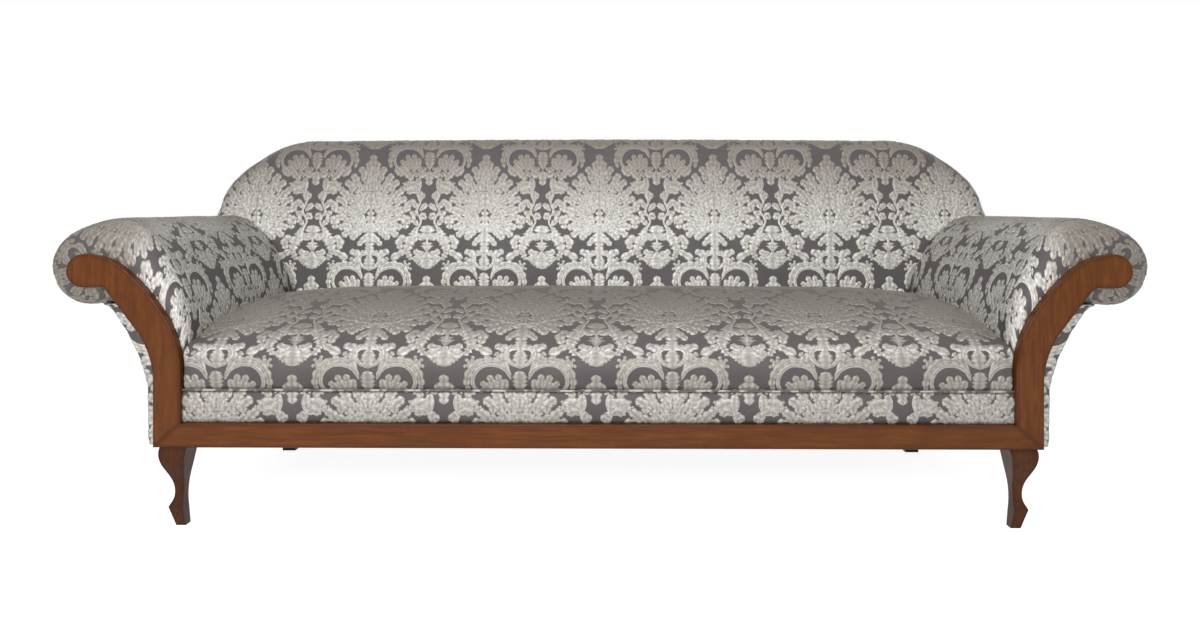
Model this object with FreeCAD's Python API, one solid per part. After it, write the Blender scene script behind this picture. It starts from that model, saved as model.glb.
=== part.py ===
import FreeCAD, Part
import math
import os

os.makedirs("parts", exist_ok=True)

# The sofa faces -Y, +Z is up, and X runs along the seat.
# The origin is under the middle of the sofa, on the floor. Lengths are millimetres.

# Overall sizes
seat_width = 1864.0          # between the two arm facings, at the seat rail
body_depth = 830.0           # show wood front to the rearmost point of the back
leg_height = 185.0           # floor to the underside of the frame
back_rise = 745.0            # frame underside to the top of the outside back
soft_gap = 0.3               # what a padded piece keeps from its neighbours

# Show wood
facing_width = 62.0
facing_thickness = 22.0
show_rail_height = 54.0
show_edge_radius = 3.0

# Arm scroll, from the facing's inner edge and from the frame's underside
scroll_reach = 220.4         # to the centre of the wooden scroll end
scroll_rise = 396.4
scroll_radius = 37.5
underside_reach = 174.5      # to where the scroll's flat underside meets the sweep
roll_reach = 233.0           # to the centre of the padded roll
roll_rise = 405.0
roll_radius = 88.0
arm_crest_rise = 512.0       # frame underside to the arm's highest line
arm_pad_inset = 4.0          # padding inside the facing's edge at seat level
arm_foot_inset = 0.15        # share of the front edge's roll that is left at seat level
side_cover_thickness = 20.0

# Frame timbers
arm_board_thickness = 30.0
seat_rail_thickness = 28.0
seat_rail_height = 100.0
side_rail_thickness = 44.0
cross_brace_width = 40.0
cross_brace_height = 50.0
cross_brace_offset = 310.0
corner_block_leg = 78.0
corner_block_height = 50.0
batten_size = 36.0
back_frame_thickness = 45.0
back_member_width = 70.0
back_stile_offset = 330.0
back_panel_thickness = 8.0
back_rake_deg = 5.7

# Seat
border_thickness = 12.0
border_height = 70.0
border_bulge = 4.0
welt_radius = 3.0
spring_wire = 3.8
spring_count = 13
spring_loop_pitch = 24.0
spring_loop_width = 50.0
clip_width = 60.0
clip_length = 14.0
clip_thickness = 1.5
spring_cover_thickness = 3.0
seat_front_face = 102.7      # welt to the seat's front shoulder
seat_crown_rise = 88.0       # shoulder to the highest point of the seat
seat_side_rise = 39.0        # shoulder to the crown beside the arms
seat_rear_rise = 28.0        # shoulder to where the seat meets the back
seat_lip_bulge = 8.0

# Back padding
back_pad_face_rake = 0.145   # forward lean of the inside back, per unit of height
back_pad_seat_depth = 120.6  # inside back at seat level, ahead of the outside back's foot
back_edge_roll = 34.0
wing_reach = 224.0           # facing's inner edge to the back's side
back_corner_reach = 306.0    # the back's side to where its top runs straight
back_top_bow = 5.0           # how much the back's top edge bows up in its middle
frame_inset = 12.0           # padding over the back frame's sawn edge
webbing_width = 50.0
webbing_thickness = 2.0
webbing_count = 9

# Legs
leg_top_width = 62.0
front_leg_setback = 8.0
front_leg_side_inset = 12.5
rear_leg_size = 44.0
rear_leg_side_inset = 70.0   # facing's outer edge to the rear leg's centre
rear_leg_lead = 10.4         # arm's rear board to the rear leg's centre
rear_leg_taper = 3.0

# Fasteners and dust cover
bolt_radius = 4.0
bolt_in_leg = 30.0
bolt_in_frame = 38.0
screw_radius = 2.2
screw_head_radius = 4.0
screw_head_height = 2.5
screw_in_facing = 13.0
fastener_clearance = 0.1
dust_cover_thickness = 1.0

# Worked-out places
inner_x = seat_width / 2
outer_x = inner_x + facing_width
front_y = -body_depth / 2
wood_back_y = front_y + facing_thickness
rail_top_z = leg_height + show_rail_height
seat_rail_top_z = leg_height + seat_rail_height
rake = math.radians(back_rake_deg)
back_foot_y = body_depth / 2 - back_rise * math.tan(rake)
back_pad_seat_y = back_foot_y - back_pad_seat_depth
arm_pad_x = inner_x - arm_pad_inset
spring_top_z = seat_rail_top_z + spring_wire
seat_pad_bottom_z = spring_top_z + spring_cover_thickness + soft_gap
border_top_z = rail_top_z + soft_gap + border_height
welt_z = border_top_z + welt_radius
seat_front_height = welt_z + welt_radius + seat_front_face
seat_rear_height = seat_front_height + seat_rear_rise
scroll_height = leg_height + scroll_rise
roll_height = leg_height + roll_rise
arm_crest_z = leg_height + arm_crest_rise
arm_pad_foot_z = seat_rail_top_z + 15.0
wing_x = inner_x + wing_reach
back_lower_z = seat_rail_top_z + 45.0
back_pad_foot_z = arm_pad_foot_z
arm_rail_z = arm_crest_z + 3.0
corner_foot_z = arm_rail_z + batten_size
top_rail_z = leg_height + (back_rise - frame_inset - back_member_width) / math.cos(rake)
front_board_back_y = wood_back_y + arm_board_thickness
back_frame_depth = (back_panel_thickness + back_frame_thickness) / math.cos(rake)
rear_board_back_y = back_foot_y - back_frame_depth
rear_board_front_y = rear_board_back_y - arm_board_thickness
back_top_slope = 2 * back_top_bow / (wing_x - back_corner_reach)
rear_leg_x = outer_x - rear_leg_side_inset
rear_leg_y = rear_board_front_y - rear_leg_lead
sweep_run = underside_reach - facing_width

V = FreeCAD.Vector
UP = V(0, 0, 1)


def save(name, shapes):
    """Write one solid, or a group of separate solids, as a node."""
    shapes = shapes if isinstance(shapes, list) else [shapes]
    solids = [solid for shape in shapes for solid in shape.Solids]
    body = solids[0] if len(solids) == 1 else Part.makeCompound(solids)
    body.exportStep("parts/" + name + ".step")
    volume = sum(solid.Volume for solid in solids) / 1e3
    print(name, len(solids), "solids", round(volume, 1), "cm3", "valid", body.isValid())


def box(x0, x1, y0, y1, z0, z1):
    return Part.makeBox(x1 - x0, y1 - y0, z1 - z0, V(x0, y0, z0))


def mirrored(shape):
    return shape.mirror(V(0, 0, 0), V(1, 0, 0))


class Outline:
    """A path of lines and tangent arcs in the XZ plane at a given Y."""

    def __init__(self, x, z, y=0.0):
        self.y = y
        self.start = V(x, y, z)
        self.at = V(x, y, z)
        self.heading = UP
        self.edges = []

    def line(self, x, z):
        end = V(x, self.y, z)
        self.edges.append(Part.LineSegment(self.at, end).toShape())
        self.heading = (end - self.at).normalize()
        self.at = end
        return self

    def head(self, dx, dz):
        self.heading = V(dx, 0, dz).normalize()
        return self

    def arc(self, x, z):
        """An arc that leaves along the heading and ends at the point."""
        end = V(x, self.y, z)
        chord = end - self.at
        side = V(self.heading.z, 0, -self.heading.x)
        across = chord.dot(side)
        radius = chord.dot(chord) / (2 * across)
        centre = self.at + side * radius
        turn = 2 * math.atan2(across, chord.dot(self.heading))
        half = self.spin(self.at - centre, turn / 2)
        self.edges.append(Part.Arc(self.at, centre + half, end).toShape())
        self.heading = self.spin(self.heading, turn)
        self.at = end
        return self

    @staticmethod
    def spin(vector, angle):
        """Turn a vector clockwise seen from the front, about Y."""
        c = math.cos(angle)
        s = math.sin(angle)
        return V(vector.x * c + vector.z * s, 0, vector.z * c - vector.x * s)

    def closed(self):
        self.line(self.start.x, self.start.z)
        return Part.Wire(self.edges)


def prism(wire, y0, y1):
    face = Part.Face(wire)
    face.translate(V(0, y0 - wire.Vertexes[0].Point.y, 0))
    return face.extrude(V(0, y1 - y0, 0))


def leaned(shape):
    """Lean a piece drawn upright, with its rear face at the back's foot."""
    copy = shape.copy()
    copy.rotate(V(0, back_foot_y, leg_height), V(1, 0, 0), -back_rake_deg)
    return copy


def behind_plane(depth):
    """Everything behind the back's outer plane, moved forward by a depth."""
    block = box(-2000, 2000, back_foot_y - depth, back_foot_y + 900, -600, 2000)
    return leaned(block)


def upper_scroll(path, grow=0.0):
    """The facing's upper edge, from the straight part to the scroll's top."""
    path.head(0, 1).line(inner_x - grow, scroll_height - 231.4)
    path.arc(inner_x + 35.7 - grow * 0.85, scroll_height - 104.2 + grow * 0.52)
    path.arc(inner_x + 123.0 - grow * 0.66, scroll_height - 0.6 + grow * 0.75)
    path.arc(inner_x + scroll_reach - 3.4, scroll_height + scroll_radius + grow)
    return path


def scroll_end(path, grow=0.0):
    """The scroll's round end and its flat underside."""
    centre_x = inner_x + scroll_reach
    path.arc(centre_x + scroll_radius + grow, scroll_height)
    path.arc(centre_x, scroll_height - scroll_radius - grow)
    path.line(inner_x + underside_reach + grow * 0.7, scroll_height - scroll_radius - grow)
    return path


def lower_sweep(path, grow=0.0):
    """The facing's lower edge, from the scroll's underside to the base."""
    path.head(-sweep_run, -142.4)
    path.arc(outer_x + sweep_run / 3 + grow * 0.8, scroll_height - 135.8 - grow * 0.6)
    path.arc(outer_x + grow, scroll_height - 251.4)
    return path


def scroll_board_wire(grow=0.0, bottom=leg_height):
    """The shape shared by the facing and the arm boards behind it."""
    path = Outline(inner_x - grow, bottom)
    upper_scroll(path, grow)
    scroll_end(path, grow)
    lower_sweep(path, grow)
    path.line(outer_x + grow, bottom)
    return path.closed()


def arm_skin(path, inset=0.0):
    """The padded arm's surface, from seat level over the roll to its underside."""
    path.line(arm_pad_x + inset * arm_foot_inset, arm_crest_z - 267.0)
    path.head(0, 1)
    path.arc(arm_pad_x + 10.0 + inset * 0.96, arm_crest_z - 197.0 - inset * 0.3)
    path.arc(arm_pad_x + 112.0 + inset * 0.7, arm_crest_z - 23.0 - inset * 0.7)
    path.arc(arm_pad_x + 177.0, arm_crest_z - inset)
    path.arc(arm_pad_x + 285.0 - inset * 0.5, arm_crest_z - 37.0 - inset * 0.86)
    path.arc(inner_x + roll_reach + roll_radius - inset, roll_height)
    path.arc(inner_x + roll_reach, roll_height - roll_radius + inset)
    path.line(inner_x + 190.0, roll_height - roll_radius + 4.0 + inset)
    return path


def joined_wire(first, second):
    """Two paths that run side by side, closed by a line at each end."""
    ends = [Part.LineSegment(first.start, second.start).toShape(),
            Part.LineSegment(first.at, second.at).toShape()]
    return Part.Wire(Part.__sortEdges__(first.edges + second.edges + ends))


def arm_pad_wire(y, inset=0.0):
    """The padding between the boards' edge and the arm's surface."""
    skin = Outline(arm_pad_x + inset * arm_foot_inset, arm_pad_foot_z, y)
    arm_skin(skin, inset)
    core = Outline(inner_x - soft_gap, arm_pad_foot_z, y)
    upper_scroll(core, soft_gap)
    scroll_end(core, soft_gap)
    return joined_wire(skin, core)


def side_cover_skin(path, grow=0.0):
    """The outside arm's surface, from under the roll to the base."""
    outside = outer_x + side_cover_thickness + grow
    path.line(inner_x + 170.0 + grow, roll_height - roll_radius - 5.0 - grow)
    path.head(-0.64, -0.77).arc(outside + 34.0, scroll_height - 161.4)
    path.arc(outside, scroll_height - 261.4)
    path.line(outside, leg_height)
    return path


def side_cover_wire():
    """The outside arm: card, wadding and cover over the sweep."""
    board = Outline(inner_x + underside_reach - 0.1, scroll_height - scroll_radius - soft_gap - 0.5)
    lower_sweep(board, soft_gap)
    board.line(outer_x + soft_gap, leg_height)
    skin = Outline(inner_x + 186.5, roll_height - roll_radius + 3.0)
    side_cover_skin(skin)
    return joined_wire(board, skin)


def arm_envelope_wire(grow):
    """The whole arm's section, grown by a gap."""
    path = Outline(arm_pad_x - grow * arm_foot_inset, leg_height)
    arm_skin(path, -grow)
    side_cover_skin(path, grow)
    return path.closed()


def facing(edge):
    """A show wood facing, mitred to the front rail at its foot."""
    board = prism(scroll_board_wire(), front_y, wood_back_y)
    front_edges = [e for e in board.Edges
                   if on_plane(e, front_y) and e.BoundBox.ZMax > leg_height + 5]
    board = board.makeFillet(edge, front_edges)
    corner = Part.makePolygon([V(inner_x, front_y - 1, rail_top_z),
                               V(outer_x + 1, front_y - 1,
                                 leg_height - show_rail_height / facing_width),
                               V(outer_x + 1, front_y - 1, leg_height - 10),
                               V(inner_x - 10, front_y - 1, leg_height - 10),
                               V(inner_x - 10, front_y - 1, rail_top_z),
                               V(inner_x, front_y - 1, rail_top_z)])
    wedge = Part.Face(corner).extrude(V(0, facing_thickness + 2, 0))
    return board.cut(wedge)


def on_plane(edge, y):
    return abs(edge.BoundBox.YMin - y) < 1e-3 and abs(edge.BoundBox.YMax - y) < 1e-3


def front_rail(edge):
    """The show wood rail, mitred into both facings."""
    points = [V(-outer_x, front_y, leg_height), V(outer_x, front_y, leg_height),
              V(inner_x, front_y, rail_top_z), V(-inner_x, front_y, rail_top_z),
              V(-outer_x, front_y, leg_height)]
    rail = Part.Face(Part.makePolygon(points)).extrude(V(0, facing_thickness, 0))
    long_edges = [e for e in rail.Edges if on_plane(e, front_y) and abs(e.tangentAt(0).x) > 0.99]
    return rail.makeFillet(edge, long_edges)


def leg_profile():
    """Points of the sawn cabriole: outward from the inner face, and height."""
    outer = [(62.0, 185.0), (64.5, 166.0), (56.6, 135.8), (48.0, 117.0), (40.5, 94.0),
             (39.0, 77.0), (41.4, 61.0), (46.5, 50.5), (49.0, 45.4)]
    inner = [(0.0, 185.0), (5.0, 166.0), (9.5, 140.0), (15.5, 105.0), (18.0, 72.0),
             (17.0, 40.0)]
    foot_outer = (37.0, 0.0)
    foot_inner = (15.0, 0.0)
    return outer, inner, foot_outer, foot_inner


def leg_wire(to_point):
    """A closed profile wire: splines down both faces and a square foot."""
    scale = leg_height / 185.0
    outer, inner, foot_outer, foot_inner = leg_profile()
    place = lambda p: to_point(p[0] * leg_top_width / 62.0, p[1] * scale)
    front = Part.BSplineCurve()
    front.interpolate([place(p) for p in outer])
    rear = Part.BSplineCurve()
    rear.interpolate([place(p) for p in inner])
    edges = [front.toShape(),
             Part.LineSegment(place(outer[-1]), place(foot_outer)).toShape(),
             Part.LineSegment(place(foot_outer), place(foot_inner)).toShape(),
             Part.LineSegment(place(foot_inner), place(inner[-1])).toShape(),
             rear.toShape(),
             Part.LineSegment(place(inner[0]), place(outer[0])).toShape()]
    return Part.Wire(Part.__sortEdges__(edges))


front_leg_x = outer_x - front_leg_side_inset - leg_top_width
front_leg_y = front_y + front_leg_setback + leg_top_width
front_bolt_x = front_leg_x + leg_top_width / 2
front_bolt_y = wood_back_y + arm_board_thickness / 2


def front_leg():
    """A cabriole sawn from two faces of one square block."""
    seen_front = leg_wire(lambda u, z: V(front_leg_x + u, -1000, z))
    seen_side = leg_wire(lambda u, z: V(0, front_leg_y - u, z))
    along_y = Part.Face(seen_front).extrude(V(0, 2000, 0))
    along_x = Part.Face(seen_side).extrude(V(2000, 0, 0))
    leg = along_y.common(along_x)
    hole = Part.makeCylinder(bolt_radius + fastener_clearance, bolt_in_leg,
                             V(front_bolt_x, front_bolt_y, leg_height - bolt_in_leg))
    return leg.cut(hole)


def rear_leg():
    """A plain square foot with a slight taper."""
    half = rear_leg_size / 2
    top = square_wire(rear_leg_x, rear_leg_y, leg_height, half)
    foot = square_wire(rear_leg_x, rear_leg_y, 0, half - rear_leg_taper)
    leg = Part.makeLoft([foot, top], True, True)
    hole = Part.makeCylinder(bolt_radius + fastener_clearance, bolt_in_leg,
                             V(rear_leg_x, rear_leg_y, leg_height - bolt_in_leg))
    return leg.cut(hole)


def square_wire(x, y, z, half):
    return Part.makePolygon([V(x - half, y - half, z), V(x + half, y - half, z),
                             V(x + half, y + half, z), V(x - half, y + half, z),
                             V(x - half, y - half, z)])


def leg_bolt(x, y, frame_length):
    return Part.makeCylinder(bolt_radius, bolt_in_leg + frame_length,
                             V(x, y, leg_height - bolt_in_leg))


def bolt_hole(x, y, frame_length):
    return Part.makeCylinder(bolt_radius + fastener_clearance, frame_length + 1,
                             V(x, y, leg_height))


def facing_screw(x, z, room=0.0):
    """A screw from the arm board into the facing, its head let into the board."""
    shank = Part.makeCylinder(screw_radius + room, arm_board_thickness + screw_in_facing + room,
                              V(x, front_board_back_y, z), V(0, -1, 0))
    head = Part.makeCylinder(screw_head_radius + room, screw_head_height + room,
                             V(x, front_board_back_y, z), V(0, -1, 0))
    return shank.fuse(head)


def facing_screw_places():
    """Along the middle of the facing, from its foot to the scroll."""
    middle = facing_width / 2
    return [(inner_x + middle, scroll_height - 291.4),
            (inner_x + middle + 5.0, scroll_height - 216.4),
            (inner_x + middle + 43.0, scroll_height - 101.4),
            (inner_x + scroll_reach, scroll_height)]


def arm_front_board():
    board = prism(scroll_board_wire(), wood_back_y, front_board_back_y)
    for x, z in facing_screw_places():
        board = board.cut(facing_screw(x, z, fastener_clearance))
    return board.cut(bolt_hole(front_bolt_x, front_bolt_y, bolt_in_frame))


def arm_rear_board():
    return prism(scroll_board_wire(), rear_board_front_y, rear_board_back_y)


def arm_battens():
    """Battens from board to board that carry the arm's webbing and padding."""
    half = batten_size / 2
    places = [(inner_x + 38.0, scroll_height - 181.4), (inner_x + 72.0, scroll_height - 103.4),
              (inner_x + 130.0, scroll_height - 39.4), (inner_x + scroll_reach, scroll_height)]
    return [box(x - half, x + half, front_board_back_y, rear_board_front_y, z - half, z + half)
            for x, z in places]


def arm_pad():
    """Lofted from a drawn-in front edge to the full section, cut to the back's lean."""
    start = wood_back_y + soft_gap
    sections = [(start, 17.0), (start + 7.0, 8.0), (start + 20.0, 2.0), (start + 38.0, 0.0),
                (body_depth / 2, 0.0)]
    wires = [arm_pad_wire(y, inset) for y, inset in sections]
    pad = Part.makeLoft(wires, True, True)
    slot = box(inner_x - 30.0, outer_x + soft_gap, back_foot_y - back_panel_thickness
               - back_frame_thickness - soft_gap, back_foot_y, 0, arm_crest_z + 60)
    return pad.cut(behind_plane(back_panel_thickness + soft_gap)).cut(leaned(slot))


def side_cover():
    cover = prism(side_cover_wire(), wood_back_y + soft_gap, body_depth / 2)
    return cover.cut(behind_plane(back_panel_thickness + soft_gap))


def side_rail():
    return box(outer_x - side_rail_thickness, outer_x, front_board_back_y, rear_board_front_y,
               leg_height, seat_rail_top_z)


def front_corner_block():
    """A triangular block that ties the front rail to the side rail."""
    x = outer_x - side_rail_thickness
    y = wood_back_y + seat_rail_thickness
    points = [V(inner_x, y, leg_height), V(inner_x, front_board_back_y, leg_height),
              V(x, front_board_back_y, leg_height),
              V(x, y + corner_block_leg, leg_height), V(x - corner_block_leg, y, leg_height),
              V(inner_x, y, leg_height)]
    return Part.Face(Part.makePolygon(points)).extrude(UP * corner_block_height)


def rear_leg_block():
    """The block above a rear leg, between the side rail and the rear rail."""
    block = box(rear_leg_x - rear_leg_size, outer_x - side_rail_thickness,
                rear_leg_y - rear_leg_size / 2 - 8, rear_board_front_y,
                leg_height, leg_height + corner_block_height)
    return block.cut(bolt_hole(rear_leg_x, rear_leg_y, bolt_in_frame))


def seat_front_rail():
    return box(-inner_x, inner_x, wood_back_y, wood_back_y + seat_rail_thickness,
               leg_height, seat_rail_top_z)


def seat_rear_rail():
    y0 = rear_board_front_y
    return box(-inner_x, inner_x, y0, y0 + seat_rail_thickness, leg_height, seat_rail_top_z)


def cross_braces():
    half = cross_brace_width / 2
    y0 = wood_back_y + seat_rail_thickness
    return [box(x - half, x + half, y0, rear_board_front_y, leg_height,
                leg_height + cross_brace_height)
            for x in (-cross_brace_offset, 0.0, cross_brace_offset)]


def spring_xs():
    pitch = (seat_width - 120.0) / (spring_count - 1)
    return [(i - (spring_count - 1) / 2) * pitch for i in range(spring_count)]


def zigzag_spring(x):
    """A sinuous spring: a flat wire path of equal loops, front rail to rear rail."""
    start = wood_back_y + seat_rail_thickness / 2
    end = rear_board_front_y + seat_rail_thickness / 2
    loops = int((end - start) / spring_loop_pitch)
    pitch = (end - start) / loops
    reach = spring_loop_width / 2
    bars = []
    for i in range(loops + 1):
        y = start + i * pitch
        bars.append(box(x - reach, x + reach, y - spring_wire / 2, y + spring_wire / 2,
                        seat_rail_top_z, spring_top_z))
    for i in range(loops):
        side = reach if i % 2 else -reach
        y = start + i * pitch
        bars.append(box(x + side - spring_wire / 2, x + side + spring_wire / 2,
                        y - spring_wire / 2, y + pitch + spring_wire / 2,
                        seat_rail_top_z, spring_top_z))
    return bars[0].multiFuse(bars[1:]).removeSplitter()


def spring_clip(x, y):
    """A folded steel clip over the spring's end bar, nailed to the rail."""
    half = clip_width / 2
    wall = spring_wire / 2 + 0.2
    top = box(x - half, x + half, y - clip_length / 2, y + clip_length / 2,
              spring_top_z + 0.1, spring_top_z + 0.1 + clip_thickness)
    foot = box(x - half + 32, x + half - 4, y + wall, y + clip_length / 2,
               seat_rail_top_z, spring_top_z + 0.1)
    return top.fuse(foot)


def spring_cover():
    """Felt over the springs, open above the clips at both rails."""
    return box(-arm_pad_x + soft_gap, arm_pad_x - soft_gap,
               wood_back_y + seat_rail_thickness + 1, rear_board_front_y - 1,
               spring_top_z, spring_top_z + spring_cover_thickness)


def inside_back_y(z):
    """The inside back's face at a height, in the sofa's own frame."""
    return back_pad_seat_y + (z - seat_rear_height) * back_pad_face_rake


def seat_section(x):
    """The seat's side section: front lip, shoulder, crown and rear edge."""
    edge = abs(x) / (arm_pad_x - soft_gap)
    lift = math.sqrt(max(0.0, 1.0 - edge ** 6))
    rise = seat_side_rise + (seat_crown_rise - seat_side_rise) * lift
    crown = seat_front_height + rise
    shoulder = seat_front_height - 3.0 * (1.0 - lift)
    front = wood_back_y - border_thickness + 2.0
    back_of_border = wood_back_y + soft_gap
    lip_z = welt_z + welt_radius + soft_gap
    rear_y = inside_back_y(seat_rear_height) - soft_gap
    rear_low_y = inside_back_y(seat_pad_bottom_z) - soft_gap
    p = lambda y, z: V(x, y, z)
    edges = [Part.LineSegment(p(back_of_border, seat_pad_bottom_z), p(back_of_border, lip_z)),
             Part.LineSegment(p(back_of_border, lip_z), p(front, lip_z)),
             Part.Arc(p(front, lip_z), p(front - seat_lip_bulge * lift, (lip_z + shoulder) / 2 - 6),
                      p(front + 3, shoulder - 20)),
             Part.Arc(p(front + 3, shoulder - 20), p(front + 11, shoulder - 8),
                      p(front + 27, shoulder)),
             Part.Arc(p(front + 27, shoulder), p((front + rear_y) / 2, crown),
                      p(rear_y, seat_rear_height)),
             Part.LineSegment(p(rear_y, seat_rear_height), p(rear_low_y, seat_pad_bottom_z)),
             Part.LineSegment(p(rear_low_y, seat_pad_bottom_z),
                              p(back_of_border, seat_pad_bottom_z))]
    return Part.Wire([edge.toShape() for edge in edges])


def seat_pad():
    """The crowned bench seat, lofted along its width."""
    half = arm_pad_x - soft_gap
    shares = [0.0, 0.45, 0.68, 0.8, 0.88, 0.94, 0.98, 1.0]
    places = [-half * s for s in reversed(shares)] + [half * s for s in shares[1:]]
    return Part.makeLoft([seat_section(x) for x in places], True, True)


def front_border():
    """The covered band between the show wood and the seat's welt."""
    low = rail_top_z + soft_gap
    face = wood_back_y - border_thickness + border_bulge
    p = lambda y, z: V(-inner_x + soft_gap, y, z)
    edges = [Part.LineSegment(p(wood_back_y, low), p(face, low)),
             Part.Arc(p(face, low), p(face - border_bulge, (low + border_top_z) / 2),
                      p(face, border_top_z)),
             Part.LineSegment(p(face, border_top_z), p(wood_back_y, border_top_z)),
             Part.LineSegment(p(wood_back_y, border_top_z), p(wood_back_y, low))]
    wire = Part.Wire([edge.toShape() for edge in edges])
    return Part.Face(wire).extrude(V(seat_width - 2 * soft_gap, 0, 0))


def welt():
    return Part.makeCylinder(welt_radius, seat_width - 2 * soft_gap,
                             V(-inner_x + soft_gap, wood_back_y - border_thickness + 2, welt_z),
                             V(1, 0, 0))


def upright_z(rise):
    """The height, in the upright drawing, of a rise along the leaning back."""
    return leg_height + rise / math.cos(rake)


def mirrored_wire(half):
    """A closed outline from its right half, which ends on the middle line."""
    left = [edge.mirror(V(0, 0, 0), V(1, 0, 0)) for edge in half.edges]
    low_left = V(-half.start.x, half.y, half.start.z)
    floor = Part.LineSegment(half.start, low_left).toShape()
    return Part.Wire(Part.__sortEdges__(half.edges + left + [floor]))


def back_arch(half, inset=0.0):
    """The back's outline above the arm, up the right side to the top's middle."""
    side = wing_x - inset
    half.line(side, upright_z(arm_crest_rise - 7.0))
    half.head(0, 1)
    half.arc(side - 44.0 + inset * 0.06, upright_z(back_rise - 120.5 - inset * 0.3))
    half.arc(side - 156.0 + inset * 0.4, upright_z(back_rise - 35.5 - inset * 0.8))
    half.arc(wing_x - back_corner_reach - inset * 0.1,
             upright_z(back_rise - back_top_bow - inset))
    half.head(-1, back_top_slope).arc(0.0, upright_z(back_rise - inset))
    return half


def back_wing_foot(half, inset=0.0):
    """The right side below the wing, inside the arm's section."""
    half.line(inner_x + 68.0, roll_height + 20.0)
    half.line(inner_x + 198.0, roll_height + 60.0)
    half.line(wing_x - inset, arm_crest_z - 19.0)
    return half


def back_pad_wire(y, inset):
    """The inside back's outline; its lower sides run on into the arms."""
    half = Outline(inner_x + 68.0, back_pad_foot_z, y)
    back_wing_foot(half, inset)
    return mirrored_wire(back_arch(half, inset))


def frame_plate(inset, thickness):
    """A plate of the arch, its outline inside the covered edge, on the back frame's plane."""
    half = Outline(wing_x - inset, roll_height)
    rear = back_foot_y - back_panel_thickness
    return prism(mirrored_wire(back_arch(half, inset)), rear - thickness, rear)


def back_pad():
    """The inside back: drawn in at its front edge, fitted between the arms."""
    frame_front = back_foot_y - back_panel_thickness - back_frame_thickness
    rear = frame_front - webbing_thickness - soft_gap
    sections = [(rear, 2.0), (rear - 20, 0.0), (rear - 48, 10.0), (rear - 64, back_edge_roll)]
    upright = Part.makeLoft([back_pad_wire(y, inset) for y, inset in sections], True, True)
    ring = prism(back_pad_wire(0, 0.0), rear - 2.0, back_foot_y - back_panel_thickness - soft_gap)
    ring = ring.cut(frame_plate(frame_inset - soft_gap, back_foot_y - back_panel_thickness - rear))
    ring = ring.cut(box(-wing_x, wing_x, rear, body_depth, 0, arm_rail_z))
    pad = leaned(upright.fuse(ring))
    face = Part.makePolygon([V(-2000, inside_back_y(0), 0), V(-2000, inside_back_y(1400), 1400),
                             V(-2000, inside_back_y(0) - 900, 1400),
                             V(-2000, inside_back_y(0) - 900, 0), V(-2000, inside_back_y(0), 0)])
    pad = pad.cut(Part.Face(face).extrude(V(4000, 0, 0)))
    envelope = prism(arm_envelope_wire(soft_gap), front_y, body_depth)
    pad = pad.cut(envelope).cut(mirrored(envelope))
    return max(pad.Solids, key=lambda solid: solid.Volume)


def back_panel():
    """The outside back: one covered panel over the frame and the arms' rear ends."""
    half = Outline(inner_x + 68.0, leg_height)
    back_wing_foot(half)
    front = back_foot_y - back_panel_thickness
    middle = prism(mirrored_wire(back_arch(half)), front, back_foot_y)
    side = prism(arm_envelope_wire(0.0), front, back_foot_y)
    panel = leaned(middle.fuse(side).fuse(mirrored(side)).removeSplitter())
    return panel.cut(box(-2000, 2000, -900, 900, -100, leg_height))


def back_frame_slab(x0, x1, z0, z1):
    """A timber of the leaning back frame, between two widths and heights."""
    y1 = back_foot_y - back_panel_thickness
    return leaned(box(x0, x1, y1 - back_frame_thickness, y1, z0, z1))


def back_post():
    post = back_frame_slab(inner_x, outer_x, leg_height - 20, upright_z(back_rise - 80.0))
    return post.cut(box(0, 2000, 0, 900, -100, leg_height))


def back_lower_rail():
    return back_frame_slab(-inner_x, inner_x, back_lower_z, back_lower_z + back_member_width)


def back_arm_rail():
    """The short rail that carries the back's wing over the arm."""
    plate = frame_plate(frame_inset, back_frame_thickness)
    return leaned(plate.common(box(outer_x, wing_x, 0, 900, arm_rail_z, corner_foot_z)))


def back_arch_pieces():
    """The arch in pieces: a straight top rail and the right sawn corner."""
    plate = frame_plate(frame_inset, back_frame_thickness)
    split_x = inner_x - facing_width
    top = plate.common(box(-split_x, split_x, 0, 900, top_rail_z, 2000))
    corner = plate.common(box(split_x, 2000, 0, 900, corner_foot_z, 2000))
    hollow = Outline(split_x - 1, corner_foot_z)
    hollow.line(split_x - 1, top_rail_z - 26.0)
    hollow.line(split_x + 70.0, top_rail_z - 26.0)
    hollow.arc(wing_x - 76.0, corner_foot_z)
    corner = corner.cut(prism(hollow.closed(), 0, 900))
    return leaned(top), leaned(corner)


def back_stiles():
    """Uprights between the lower rail and the top rail."""
    half = back_member_width / 2
    return [back_frame_slab(x - half, x + half, back_lower_z + back_member_width, top_rail_z)
            for x in (-back_stile_offset, back_stile_offset)]


def back_webbing():
    """Upright jute strips on the front of the back frame."""
    top = top_rail_z + 10.0
    front = back_foot_y - back_panel_thickness - back_frame_thickness
    half = webbing_width / 2
    pitch = (seat_width - 140.0) / (webbing_count - 1)
    places = [(i - (webbing_count - 1) / 2) * pitch for i in range(webbing_count)]
    foot = back_lower_z + 15.0
    return [leaned(box(x - half, x + half, front - webbing_thickness, front, foot, top))
            for x in places]


def dust_cover():
    """Thin cloth under the frame, cut round the legs."""
    cover = box(-outer_x + 15, outer_x - 15, wood_back_y + 3, rear_board_back_y - 8,
                leg_height - dust_cover_thickness, leg_height)
    room = 1.5
    front = box(front_leg_x - room, outer_x, front_y, front_leg_y + room, 0, 200)
    half = rear_leg_size / 2 + room
    rear = box(rear_leg_x - half, rear_leg_x + half, rear_leg_y - half,
               rear_leg_y + half, 0, 200)
    for cutter in (front, rear):
        cover = cover.cut(cutter).cut(mirrored(cutter))
    return cover


save("front_rail", front_rail(show_edge_radius))

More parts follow.
